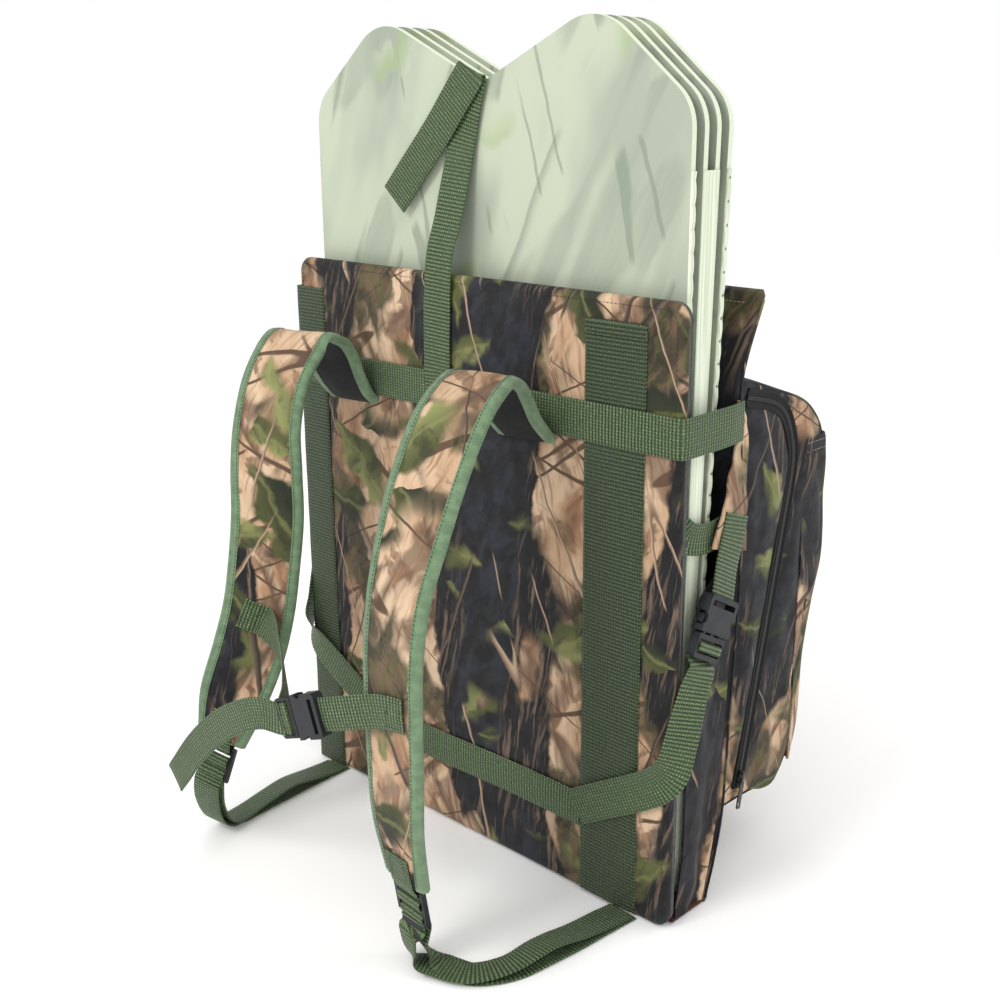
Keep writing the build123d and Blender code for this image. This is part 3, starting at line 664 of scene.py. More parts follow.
def dashes(name, path, normals, material, stitch=3.0, gap=1.6, radius=0.38, sink=0.1):
    """Row of thread stitches along a path on a surface, with one normal or one for each point."""
    path = np.asarray(path, float)
    normals = unit_rows(np.broadcast_to(np.asarray(normals, float), path.shape))
    length = arc_length(path)
    points, faces = [], []
    profile = [(0.0, 0.25), (0.15, 0.9), (0.5, 1.0), (0.85, 0.9), (1.0, 0.25)]
    sides = 6
    for s in np.arange(gap, length[-1] - stitch, stitch + gap):
        base = len(points)
        for t, r in profile:
            here = s + t * stitch
            centre, up = at_places(here, length, path), at_places(here, length, normals)
            along = at_places(min(here + 0.5, length[-1]), length, path) - at_places(here - 0.5, length, path)
            side = unit_rows(np.cross(along, up))
            centre = centre + up * (radius * (0.7 if 0 < t < 1 else 0.1) - sink)
            for angle in np.arange(sides) * math.tau / sides:
                points.append(centre + (up * math.sin(angle) + side * math.cos(angle)) * r * radius)
        for i in range(len(profile) - 1):
            for q in range(sides):
                k = (q + 1) % sides
                faces.append([base + i * sides + q, base + i * sides + k,
                              base + (i + 1) * sides + k, base + (i + 1) * sides + q])
        faces.append([base + q for q in range(sides)][::-1])
        faces.append([base + (len(profile) - 1) * sides + q for q in range(sides)])
    flat = [(0, 0)] * sum(len(face) for face in faces)
    return mesh_object(name, points, faces, flat, None, [material], 80)


def joined(name, parts):
    """Several mesh objects made into one."""
    bpy.ops.object.select_all(action="DESELECT")
    for part in parts:
        part.select_set(True)
    bpy.context.view_layer.objects.active = parts[0]
    bpy.ops.object.join()
    parts[0].name = name
    parts[0].data.name = name
    return parts[0]


# ---------------------------------------------------------------- camera, light and floor


def camera():
    azimuth, elevation, roll = math.radians(44.37), math.radians(16.93), math.radians(-0.487)
    back = Vector((math.sin(azimuth) * math.cos(elevation), -math.cos(azimuth) * math.cos(elevation),
                   math.sin(elevation)))
    right = (-back).cross(Vector((0, 0, 1))).normalized()
    up = right.cross(-back)
    turned_right = right * math.cos(roll) + up * math.sin(roll)
    turned_up = up * math.cos(roll) - right * math.sin(roll)
    data = bpy.data.cameras.new("camera")
    data.sensor_width = 36.0
    data.lens = 47.9
    data.clip_end = 30.0
    eye = bpy.data.objects.new("camera", data)
    bpy.context.scene.collection.objects.link(eye)
    basis = Matrix((turned_right, turned_up, back)).transposed().to_4x4()
    eye.matrix_world = Matrix.Translation((0.9635, -0.988, 0.807)) @ basis
    bpy.context.scene.camera = eye


FLOOR_HALF = 6.0
FLOOR_DROP = -0.0006


def area_light(name, place, target, size, power, colour):
    data = bpy.data.lights.new(name, "AREA")
    data.size = size
    data.energy = power
    data.color = colour
    lamp = bpy.data.objects.new(name, data)
    bpy.context.scene.collection.objects.link(lamp)
    lamp.location = place
    lamp.rotation_mode = "QUATERNION"
    lamp.rotation_quaternion = (Vector(target) - Vector(place)).to_track_quat("-Z", "Y")


def studio():
    floor = bpy.data.meshes.new("floor")
    corners = [(x * FLOOR_HALF, y * FLOOR_HALF, FLOOR_DROP) for x, y in ((-1, -1), (1, -1), (1, 1), (-1, 1))]
    floor.from_pydata(corners, [], [(0, 1, 2, 3)])
    ground = bpy.data.objects.new("floor", floor)
    bpy.context.scene.collection.objects.link(ground)
    g = Graph("floor")
    paper = g.noise(g.object_place(), 3.0, 2.0)
    floor.materials.append(g.finish(g.mix(paper, rgb(254, 254, 253), rgb(255, 255, 255)), 0.9, specular=0.1))
    world = bpy.data.worlds.new("studio")
    bpy.context.scene.world = world
    world.use_nodes = True
    background = world.node_tree.nodes["Background"]
    background.inputs[0].default_value = (1.0, 1.0, 1.0, 1.0)
    background.inputs[1].default_value = 1.0
    area_light("key", (-0.1, -2.3, 2.3), (0, 0, 0.4), 0.9, 34, (1.0, 0.99, 0.96))
    area_light("fill", (2.2, -1.2, 1.3), (0, 0, 0.4), 1.6, 8, (0.98, 0.99, 1.0))
    area_light("rim", (1.6, 1.6, 1.8), (0, 0.1, 0.4), 1.4, 8, (1.0, 1.0, 1.0))
    settings = bpy.context.scene.view_settings
    settings.view_transform = "Standard"
    settings.look = "None"


# ---------------------------------------------------------------- back panel


def panel_grid(step, round_edge, corner, depth):
    """Grid over an upright pad: (x, z, depth behind the front, u, v, rear x, rear z) with rounded sides."""
    half = PANEL_HIGH[0]
    low, high = PANEL_LOW[2], PANEL_HIGH[2]
    wrap = round_edge * math.pi / 2 + (depth - round_edge)
    reach = corner - round_edge + wrap

    def lines(a, b):
        inner = np.linspace(a + corner, b - corner, int((b - a - 2 * corner) / step) + 1)
        fringe = np.linspace(0, reach, 12)[1:]
        return np.concatenate([inner[0] - fringe[::-1], inner, inner[-1] + fringe])

    a, b = lines(-half, half), lines(low, high)
    u, v = np.meshgrid(a, b, indexing="ij")
    centre_a = np.clip(u, -half + corner, half - corner)
    centre_b = np.clip(v, low + corner, high - corner)
    da, db = u - centre_a, v - centre_b
    size = np.hypot(da, db)
    away = np.maximum(np.abs(da), np.abs(db))
    angle = np.clip((away - (corner - round_edge)) / round_edge, 0, math.pi / 2)
    radial = np.where(away < corner - round_edge, away, corner - round_edge + round_edge * np.sin(angle))
    past = np.maximum(away - (corner - round_edge) - round_edge * math.pi / 2, 0)
    behind = round_edge * (1 - np.cos(angle)) + past
    taper = 6.5
    scale = np.divide(radial, size, out=np.zeros_like(size), where=size > 1e-9)
    middle = (low + high) / 2
    rear_x = (centre_a + da * scale) * (1 - taper / half)
    rear_z = middle + (centre_b + db * scale - middle) * (1 - taper / (high - middle))
    radial = radial - taper * np.clip((behind - 4) / (depth - 4), 0, 1) ** 2
    scale = np.divide(radial, size, out=np.zeros_like(size), where=size > 1e-9)
    return centre_a + da * scale, centre_b + db * scale, behind, u, v, rear_x, rear_z


def panel_puff(x, z):
    """How far the padded face stands proud between its sewn lines."""
    inside_upper = np.maximum(np.maximum(CROSS_LOW[2] - z, z - CROSS_HIGH[2]), 0)
    inside_lower = np.maximum(np.maximum(LOWER_LOW[2] - z, z - LOWER_HIGH[2]), 0)
    inside_strip = np.maximum(np.maximum(STRIP_LOW[0] - x, x - STRIP_HIGH[0]), 0)
    inside_left = np.maximum(x - LEFT_STRIP_HIGH[0], 0)
    edge = np.minimum(PANEL_HIGH[0] - 9 - np.abs(x), np.minimum(z - 10, PANEL_HIGH[2] - 14 - z))
    away = np.minimum.reduce([inside_upper, inside_lower * 1.5, inside_strip, inside_left,
                              np.maximum(edge, 0)])
    pillow = 2.6 * (1 - np.exp(-away / 22))
    ripples = 1.1 * noise2(x + 400, z, 46, 11) + 0.7 * noise2(x + 400, z, 19, 12)
    tuck = np.exp(-(edge / 12) ** 2) * 1.3 * noise2(x * 0.6 + z * 0.6 + 300, 0 * x, 11, 13)
    return pillow + ripples * (1 - np.exp(-away / 14)) + tuck * (edge > 0)


def panel_outline(inset, bend):
    """Up the left side, over the top and down the right side of the panel, as (x, z) points."""
    half = PANEL_HIGH[0] - inset
    top = PANEL_HIGH[2] - inset
    angle = np.linspace(0, math.pi / 2, 9)
    left = np.vstack([coords(-half, np.linspace(24, top - bend - 1, 120)),
                      coords(-half + bend * (1 - np.cos(angle)), top - bend * (1 - np.sin(angle)))])
    across = coords(np.linspace(-half + bend + 1, half - bend - 1, 110), top)
    return np.vstack([left, across, (left * (-1, 1))[::-1]])


def back_panel():
    depth = PANEL_HIGH[1] - PANEL_FRONT
    x, z, behind, u, v, rear_x, rear_z = panel_grid(4.0, 7.0, 18.0, depth)
    puff = panel_puff(x, z) * np.clip(1 - behind / 3.0, 0, 1)
    grids = (coords(x, PANEL_FRONT + behind - puff, z), coords(rear_x, PANEL_HIGH[1], rear_z),
             coords(u, v) + PRINT_SHIFT["panel"])
    pad = shell("back_panel", *(grid[:, ::-1] for grid in grids), [CAMO, LINING_WITH_PAINTED_SHADE], back_kind=1, sharp=60,
                joined=True)
    settle(pad, "pack", ("back_panel_cover", "back_panel_lining"))

    x, z = panel_outline(8.0, 14.0).T
    path = coords(x, PANEL_FRONT - panel_puff(x, z), z)
    settle(dashes("back_panel_seam", path, FORWARD, THREAD_DARK, 3.2, 1.5, 0.35), "pack")
    x, z = panel_outline(5.0, 16.0).T
    settle(tube("back_panel_piping", coords(x, PANEL_HIGH[1] - 1.0, z), 1.3, BASE), "pack")


# ---------------------------------------------------------------- webbing on the panel


def panel_webs():
    face, top = PANEL_FRONT - 1.2, STRIP_HIGH[2]
    middle = (STRIP_LOW[0] + STRIP_HIGH[0]) / 2
    route = [(face + 1.6, top - 14), (face + 1.0, top - 3), (face - 0.9, top), (face - 1.6, top - 4),
             (face - 1.3, top - 14), (face, top - 30), (face, 300), (face, STRIP_LOW[2] + 2)]
    strip = web("web_strip_right", facing([(middle, y, z) for y, z in route]), STRIP_HIGH[0] - STRIP_LOW[0],
                cup=0.5, wave=0.35, seed=3, material=WEB_DARK)
    settle(strip, "pack", ("web_strip_right",))

    side, heights = LEFT_STRIP_LOW[0], (LEFT_STRIP_HIGH[2], 300, LEFT_STRIP_LOW[2])
    route = [((side + LEFT_STRIP_HIGH[0]) / 2, face, z) for z in heights]
    front = web("web_strip_left_front", facing(route), LEFT_STRIP_HIGH[0] - side, cup=0.4, wave=0.3, seed=4,
                material=WEB_DARK)
    wrap_width = PANEL_HIGH[1] - PANEL_FRONT - 3
    route = [(side + 0.2, PANEL_FRONT + wrap_width / 2 - 0.5, z) for z in heights]
    wrap = web("web_strip_left_wrap", facing(route, FORWARD), wrap_width, seed=5, material=WEB_DARK)
    settle(joined("web_strip_left", [front, wrap]), "pack", ("web_strip_left",))

    for edge in (STRIP_LOW[0] + 2.5, STRIP_HIGH[0] - 2.5):
        path = [(edge, face - WEB_THICK / 2, z) for z in (top - 18, STRIP_LOW[2] + 8)]
        settle(dashes(f"strip_stitch_{int(edge)}", path, FORWARD, THREAD, 3.4, 1.8, 0.34), "pack")


def cross_straps():
    face, down = PANEL_FRONT - 1.2 - WEB_THICK, (0, 0, -1)
    middle = (CROSS_LOW[2] + CROSS_HIGH[2]) / 2
    path = [(273.4, 47), (276.6, 22), (277.4, -20), (277.0, -46), (270, face - 0.3), (235, face),
            (163, face - 0.2), (80, face), (0, face - 0.3), (-90, face), (-180, face), (-262, face),
            (-276.8, -46), (-277.4, -20), (-276.6, 22), (-273.4, 47)]
    strap = web("upper_cross_strap", facing([(x, y, middle) for x, y in path], down), WEB_MAIN, cup=0.4,
                wave=0.5, seed=6)
    settle(strap, "pack", ("upper_cross_strap",))

    middle = (LOWER_LOW[2] + LOWER_HIGH[2]) / 2
    path = [(x, face, middle + 1.5 * math.sin(x / 60)) for x in (160, 120, 60, 0, -60, -120, -158)]
    strap = web("lower_cross_strap", facing(path, down), WEB_MAIN, cup=0.9, wave=0.4, seed=7)
    settle(strap, "pack", ("lower_cross_strap",))

    tack = []
    for x in (STRIP_LOW[0] + 4, STRIP_HIGH[0] - 4):
        column = [(x, face - 1.2, z) for z in (CROSS_LOW[2] + 2, CROSS_HIGH[2] - 2)]
        tack.append(dashes("tack", column, FORWARD, THREAD, 2.6, 0.9, 0.4))
    settle(joined("cross_strap_tacks", tack), "pack")


def retaining_strap():
    """Strap from under the upper cross strap up the front board, folded over at the notch."""
    rise = [(-40, -53.0, 496, 1, 0, 0), (-40, -53.8, 520, 1, 0, -0.03), (-40, -54.6, 545, 1, 0, -0.06),
            (-35, -54.4, 640, 1, 0, -0.06), (-31.5, -42, 690, 1, 0, -0.08), (-25, -29.8, 755, 1, 0, -0.12),
            (-15, -29.2, 800, 1, 0, -0.2), (-9, -29.2, 820, 0.96, 0, -0.28),
            (-6.5, -29.7, 828, 0.92, 0, -0.38),
            (-6.3, -31.0, 830.4, 0.9, 0, -0.44), (-7.6, -32.3, 828, 0.88, 0, -0.48),
            (-15, -32.7, 819, 0.8, 0, -0.6), (-58, -32.8, 770, 0.74, 0, -0.67),
            (-98, -33.4, 728, 0.73, 0, -0.68), (-122, -34.5, 702, 0.72, 0.03, -0.69)]
    strap = web("retaining_strap", rise, WEB_MAIN, ribs=0.3, wave=0.5, seed=8)
    settle(strap, ("pack", "retaining_strap"), ("retaining_strap",),
           bend=((-0.04, -0.0546, 0.532), (-0.04, -0.0546, 0.552)))


# ---------------------------------------------------------------- shoulder harness

STRAP_RIGHT = [
    (88, -64, 494, 2, 38), (90, -80, 510, 3, 38), (92, -95, 532, 4, 38.5), (96, -113, 549, 7, 39),
    (105, -140, 554, 11, 39), (121, -188, 531, 17, 39),
    (130, -228, 480, 14, 39), (130, -248, 433, 8, 39), (130, -265, 385, 0, 39), (130, -274, 334, -2, 39),
    (130, -276, 278, -3, 39), (130, -276, 220, -4, 39), (130, -275, 160, -4, 36), (129, -264, 98, -4, 30),
]
STRAP_LEFT = [
    (-176, -64, 494, 4, 38), (-176.5, -76, 514, 8, 38), (-177, -88, 538, 13, 38.5), (-177, -104, 554, 20, 39),
    (-176, -130, 558, 28, 39), (-172, -163, 523, 24, 39),
    (-168, -182, 476, 26, 39), (-166, -188, 428, 35, 39), (-165, -191, 377, 39, 39),
    (-165, -199, 326, 38, 39),
    (-166, -209, 276, 39, 39), (-170, -224, 227, 42, 39), (-178, -242, 178, 38, 37),
    (-186, -255, 132, 24, 30),
]
ROOT_BLEND = ((0, -0.0548, 0.49), (0, -0.078, 0.49))


def across_of(yaw):
    return (math.cos(math.radians(yaw)), math.sin(math.radians(yaw)), 0)


def crown(a, half, height):
    """Height of a padded band above its mid surface, from its bound edge to its crown."""
    return PAD_EDGE + (height - PAD_EDGE) * (1 - np.clip(np.abs(a) / half, 0, 1) ** 3.2)


def strap_rows(stations):
    """Root under the cross strap, then the strap's own stations, as rows of numbers."""
    x, yaw, half = stations[0][0], stations[0][3], stations[0][4]
    root = [(x, PANEL_FRONT - 4.4, 484, yaw, half)]
    return [(a, b, c, *across_of(turn), h) for a, b, c, turn, h in root + stations]


def shoulder_strap(side, stations, seed):
    even, length = smooth_rows(strap_rows(stations), 4.0)
    place, half = even[:, :3], even[:, 6]
    across, out = frames_along(place, even[:, 3:6])
    t = np.linspace(-1, 1, 15)
    cover_half = half[:, None] - 1.0
    a = cover_half * t
    s = length[:, None] + 0 * a
    crease = 0.9 * noise2(s, a * 0.35 + 90, 13, seed) + 0.8 * noise2(s, a + 90, 31, seed + 1)
    crease = crease * (1 - t ** 2)
    thick = np.clip((0.85 + length / 120)[:, None], 0, 1)
    upper = crown(a, half[:, None], PAD_CROWN) * thick + crease
    lower = -crown(a, half[:, None], PAD_UNDER) * thick + 0.6 * crease
    tip = cover_half + 1.2
    ring_a = np.concatenate([a, tip, a[:, ::-1], -tip], 1)
    ring_n = np.concatenate([upper, 0 * tip, lower[:, ::-1], 0 * tip], 1)
    rings = place[:, None] + ring_a[:, :, None] * across[:, None] + ring_n[:, :, None] * out[:, None]
    shift = PRINT_SHIFT[side]
    flat = coords(np.concatenate([ring_a, ring_a[:, :1]], 1) + shift[0], length[:, None] + shift[1])
    kinds = [0] * (len(t) - 1) + [1] * (rings.shape[1] - len(t) + 1)
    pad = loft(f"shoulder_strap_{side}", rings, flat, [CAMO, LINING_WITH_PAINTED_SHADE], kinds, sharp=70)
    nodes = [f"shoulder_strap_cover_{side}", f"shoulder_strap_foam_{side}"]
    nodes += ["strap_anchors"] if side == "right" else []
    bodies = ("pack", "harness")
    settle(pad, bodies, nodes, ROOT_BLEND)

    def surface(b, over, top=True):
        """Place on the pad's face at a distance from its middle line."""
        face = crown(b, half, PAD_CROWN if top else PAD_UNDER) * thick[:, 0]
        height = face + over if top else -face - over
        return place + across * b[:, None] + out * height[:, None]

    bands, rows = [], []
    inner, outer = half - BINDING_WIDTH, half - 1.2
    lift = 1.15 + 0.35 * noise2(length, 0 * length + 7, 17, seed + 4)
    for sign in (-1, 1):
        turn = [(inner, 0.9), (half - 5, lift), (outer, 1.3)]
        ring = [surface(sign * b, over) for b, over in turn]
        ring += [place + across * (sign * (half + 1.0))[:, None]]
        ring += [surface(sign * b, over, False) for b, over in turn[::-1] + [(inner, -0.6), (outer, -0.4)]]
        ring += [surface(sign * outer, -0.4), surface(sign * inner, -0.6)]
        tape = np.stack(ring[::sign], 1)
        flat = coords(np.cumsum([0, 5, 4, 3, 3, 4, 5, 1, 9, 3, 9, 1]), length[:, None])
        bands.append(loft("tape", tape[:, ::-1], flat[:, ::-1], [TAPE], sharp=60))
        path = surface(sign * (inner + 1.8), 1.35)[3:-1]
        rows.append(dashes("row", path, out[3:-1], THREAD, 2.8, 1.3, 0.36))
    nodes = (f"shoulder_strap_binding_{side}",)
    settle(joined(f"strap_binding_{side}", bands), bodies, nodes, bend=ROOT_BLEND)
    settle(joined(f"strap_stitching_{side}", rows), bodies, bend=ROOT_BLEND)


def lock_frame(stations):
    """Origin on a ladder lock's upper bar, with its across, up and outward directions."""
    last = np.array(stations[-1][:3], float)
    down = unit_rows(last - np.array(stations[-2][:3], float))
    side = np.array(across_of(stations[-1][3]))
    side = unit_rows(side - down * side.dot(down))
    return last + down * 11, side, -down, np.cross(down, side)


def in_lock(lock, x, up, outward):
    origin, side, rise, out = lock
    return tuple(origin + side * x + rise * up + out * outward)


def lock_webs(side, lock, run, seed):
    """Loop that holds a ladder lock, and the doubled lower web that is threaded through it."""
    turn = [(44, 8.6), (30, 8.2), (8, 6.6), (2.6, 3.9), (-1.6, 3.7), (-4.2, 0), (-1.6, -3.7), (2.6, -3.9),
            (8, -6.6), (30, -7.6)]
    route = facing([in_lock(lock, 0, up, n) for up, n in turn], lock[1])
    loop = web(f"lock_loop_{side}", route, WEB_SLIM - 1, spacing=1.0, seed=seed)
    settle(loop, "harness", ("lock_loops",) if side == "right" else ())
    box = [(-10, 41), (10, 41), (10, 16), (-10, 16), (-10, 41)]
    path = [in_lock(lock, x, up, 8.6 + (up - 30) * 0.02 + 1.0) for x, up in box]
    settle(dashes(f"lock_loop_stitch_{side}", path, lock[3], THREAD, 2.6, 1.2, 0.36), "harness")

    threaded = [(-44, -5.6), (-34, -4.8), (-26, -4.6), (-14, -4.2), (-9, -2.4), (-8, 1.2), (-10.5, 3.9),
                (-14, 4.2), (-18, 3.2), (-20.5, 0.5), (-23, -0.5), (-25.2, 1.6), (-29, 3.6), (-33, 3.2),
                (-38, 0.0), (-46, -2.8)]
    back = facing([in_lock(lock, 0, up, n) for up, n in threaded], lock[1])
    return web("strand", run[::-1] + back, WEB_SLIM, wave=0.6, seed=seed + 1)


def lower_webs():
    right = [(131, -252, 26, 0.97, -0.22, 0), (141, -246, 9, 0.86, -0.5, 0), (160, -240, 3.0, 0.62, -0.78, 0),
             (186, -229, 1.6, 0.65, -0.76, 0), (204, -200, 1.4, 0.9, -0.43, 0), (213, -150, 1.4, 1, -0.15, 0),
             (218, -100, 1.4, 1, -0.1, 0), (222, -51.5, 1.4, 1, 0, 0)]
    right_tail = [(124, -262, 36, 0.97, -0.22, 0), (131, -262, 12, 0.9, -0.42, 0),
                  (150, -252, 5.4, 0.65, -0.76, 0), (182, -236, 5.2, 0.62, -0.78, 0.05),
                  (203, -205, 9, 0.85, -0.5, 0.12),
                  (212, -160, 15, 0.98, -0.2, 0.16), (216, -118, 9, 1, -0.1, 0.1), (219, -80, 5, 1, -0.1, 0),
                  (221, -56, 3.6, 1, 0, 0)]
    left = [(-208, -258, 44, 0.95, 0.3, 0), (-217, -243, 17, 0.98, 0.15, 0), (-223, -223, 4.2, 1, 0.05, 0),
            (-227, -200, 1.5, 1, 0, 0), (-231, -160, 1.4, 1, 0, 0), (-235, -110, 1.4, 1, 0, 0),
            (-238, -51.5, 1.4, 1, 0, 0)]
    left_tail = [(-204, -268, 52, 0.95, 0.3, 0), (-211, -256, 22, 0.98, 0.15, 0),
                 (-218, -236, 7.6, 1, 0.05, 0),
                 (-225, -205, 5.4, 1, 0, 0.05), (-229, -170, 9, 1, 0, 0.1), (-232, -135, 12, 1, 0, 0.1),
                 (-235, -95, 6, 1, 0, 0), (-237, -58, 3.6, 1, 0, 0)]
    for side, stations, run, tail, seed in (("right", STRAP_RIGHT, right, right_tail, 21),
                                            ("left", STRAP_LEFT, left, left_tail, 31)):
        lock = lock_frame(stations)
        load = lock_webs(side, lock, run, seed)
        begin = facing([in_lock(lock, 0, -36, 3.0), in_lock(lock, 0, -46, 3.6)], lock[1])
        loose = web("tail", begin + tail, WEB_SLIM, wave=0.6, seed=seed + 3)
        foot = (lock[0] - lock[2] * 30) * MM
        settle(joined(f"lower_web_{side}", [load, loose]), ("harness", "pack"),
               ("lower_webs",) if side == "right" else (), bend=(tuple(foot), (foot[0], foot[1] + 0.04, 0.0)))


def buckle_frame(origin, along, outward):
    """Origin, along, across and outward directions of a side-release buckle."""
    u = unit_rows(np.array(along, float))
    n = np.array(outward, float)
    n = unit_rows(n - u * n.dot(u))
    return np.array(origin, float), u, np.cross(n, u), n


def in_buckle(buckle, u, v, n):
    origin, along, across, out = buckle
    return tuple(origin + along * u + across * v + out * n)


# Web round the ladder bar of a plug, between its two slots, as (along, outward) points.
BAR_TURN = [(-9.0, -6.0), (-9.3, 0), (-10.4, 4.6), (-14, 5.6), (-17.6, 4.6), (-18.7, 0), (-19.0, -6.0)]


def sternum_strap():
    buckle = buckle_frame((20, -300, 243), (0.937, 0.053, 0.347), (0.05, -1, 0.02))

    def held(*points):
        return facing([in_buckle(buckle, u, 0, n) for u, n in points], buckle[2])

    right = [(153, -284.5, 281, -0.15, 0, 1), (132, -285.5, 279, -0.17, 0, 1), (112, -287, 274, -0.2, 0, 1),
             (86, -293, 266, -0.3, 0, 1)] + held((37.6, 0), (33, -2))
    strap = web("sternum_web_right", right, WEB_SLIM, wave=0.5, cup=-0.6, seed=41)
    settle(strap, "harness", ("sternum_web_right",))
    box = [(150, 294), (134, 292), (131.5, 266), (147.5, 268), (150, 294)]
    path = [(x, -286.6 if x > 140 else -287.2, z) for x, z in box]
    settle(dashes("sternum_stitch_right", path, FORWARD, THREAD, 2.4, 1.2, 0.36), "harness")

    corner, run = np.array([-174.1, -226.9, 275.1]), np.array([0.766, 0.536, -0.355])
    rise, proud = np.array([0.315, 0.454, 0.833]), np.array([0.599, -0.74, 0.176])

    def on_patch(along, across=0.0, over=0.0):
        return tuple(corner + run * along + rise * across + proud * over)

    left = facing([on_patch(0), on_patch(14), on_patch(27)], rise)
    left += [(-130, -218, 261, 0.24, 0.12, 0.96), (-102, -231, 254, 0.19, -0.12, 0.965),
             (-72, -248, 248, 0.12, -0.16, 0.965), (-44, -267, 243, -0.05, -0.14, 0.97),
             (-24, -282, 237, -0.22, -0.07, 0.96)] + held((-30, -5.5), (-20, -6.2))
    strap = web("sternum_web_left", left, WEB_SLIM, wave=0.4, seed=42)
    tail = held((-20, 6.0), (-29, 3.0))
    tail += [(-34, -308, 231, -0.4, 0, 0.9), (-62, -311, 219, -0.45, 0, 0.88),
             (-96, -312, 198, -0.55, 0, 0.85),
             (-139, -314, 161, -0.65, 0, 0.75), (-176, -315, 119, -0.73, 0, 0.68),
             (-190, -314, 104, -0.75, 0.05, 0.66)]
    tail_web = web("sternum_tail", tail, WEB_SLIM, wave=0.5, cup=0.8, seed=43)
    around = web("sternum_bar", held(*BAR_TURN), WEB_SLIM - 1, spacing=0.9, seed=44)
    settle(joined("sternum_web_left", [strap, tail_web, around]), "harness", ("sternum_web_left",))
    cross = [[(2, -13.5), (2, 13.5), (25, 13.5), (25, -13.5), (2, -13.5)], [(2, -13.5), (25, 13.5)],
             [(2, 13.5), (25, -13.5)]]
    rows = [dashes("row", [on_patch(along, across, 1.35) for along, across in line], (0.6, -0.8, 0), THREAD,
                   2.4, 1.2, 0.36) for line in cross]
    settle(joined("sternum_stitch_left", rows), "harness")


# ---------------------------------------------------------------- side compression


def side_webs():
    buckle = buckle_frame((282, -5.8, 312.7), (0, 0.469, 0.883), (1, 0, 0))
    across = (0, 0.883, -0.469)

    def held(*points):
        return facing([in_buckle(buckle, u, 0, n) for u, n in points], across)

    upper = (facing([(272.6, 45, 419), (273.6, 37, 396), (276.5, 25, 371)], across)
             + held((38.5, 0.4), (33, -2)))
    lower = held((-16, -6.0), (-26, -4.5))
    lower += [(283.8, -20.5, 281, 0.1, 0.88, -0.46), (282.4, -28, 262, 0.2, 0.87, -0.44),
              (281.8, -36, 240, 0.3, 0.84, -0.43), (281.2, -44.5, 214, 0.4, 0.8, -0.45),
              (279.5, -54.5, 188, 0.45, 0.62, -0.64), (264, -58.0, 165, 0.5, 0.15, -0.85),
              (232, -56.8, 143, 0.5, 0, -0.86), (196, -56.2, 122, 0.5, 0, -0.86),
              (158, -55.6, 99, 0.5, 0, -0.86)]
    pieces = {"side_webs_upper": [], "side_webs_lower": [], "bars": []}
    loops, tabs = [], []
    for sign in (1, -1):
        mirror = (sign, 1, 1, sign, 1, 1)
        for key, route, width, seed in (("side_webs_upper", upper, WEB_MAIN, 51),
                                        ("side_webs_lower", lower, WEB_MAIN, 53),
                                        ("bars", held(*BAR_TURN), WEB_MAIN - 1, 55)):
            pieces[key].append(web(key, np.array(route) * mirror, width, wave=0.5, spacing=1.0,
                                   seed=seed + (sign < 0)))
        route = np.array([(262.6, PANEL_HIGH[1] + 1, 418, 0, 0, -1), (265.8, -20, 408, 0, 0.12, -1),
                          (267.0, 5, 403, 0, 0.05, -1), (265.8, 30, 405, 0, -0.1, -1),
                          (263.8, 47, 411, 0, -0.15, -1)]) * mirror
        loops.append(web("loop", route, 30, wave=0.8, cup=1.0, spacing=1.2, seed=57))
        tabs.append(wing_tab(sign))
    settle(joined("side_webs_upper", pieces["side_webs_upper"]), "pack", ("side_webs_upper",))
    settle(joined("side_webs_lower", pieces["side_webs_lower"] + pieces["bars"]), "pack",
           ("side_webs_lower",))
    settle(joined("side_loops", loops), "pack", ("side_loops",))
    settle(joined("wing_tabs", tabs), "pack", ("wing_tabs",))


def wing_tab(sign):
    """Cloth tab from the bag's front corner that carries the side webs."""
    rear = smooth_rows([(46, 531, 0), (56, 500, 0), (60, 450, 0), (66, 376, 0)], 5)[0]
    front = smooth_rows([(40, 531, 0), (38, 492, 0), (26, 440, 0), (6, 393, 0)], 5)[0]
    share = np.linspace(0, 1, 26)
    r, f = (at_places(share, np.linspace(0, 1, len(edge)), edge[:, :2])[:, None] for edge in (rear, front))
    t = np.linspace(0, 1, 12)[None, :, None]
    y, z = np.moveaxis(f * (1 - t) + r * t, -1, 0)
    bend = 1.6 * noise2(y + 40, z, 17, 61) + 0.8 * noise2(y + 40, z, 9, 62)
    x = PANEL_HIGH[0] - 2.6 + 1.2 * np.clip(bend, -1, 1)
    grids = coords(sign * (x + 0.9), y, z), coords(sign * (x - 0.9), y, z), coords(y, z) + PRINT_SHIFT["tab"]
    return shell("tab", *(grid[::-sign] for grid in grids), [CAMO], sharp=60)


# ---------------------------------------------------------------- sleeve

REAR_PATH = [(22, 0), (22, 10), (33, 44), (45, 100), (50, 200), (58, 378), (47, 500), (46, 555), (78, 631)]
REAR_HALF = 270.0


def edge_round(distance, radius):
    """Share of full thickness at a distance inside a rounded edge."""
    t = np.clip(distance / radius, 0, 1)
    return np.sqrt(np.clip(1 - (1 - t) ** 2, 0, 1))


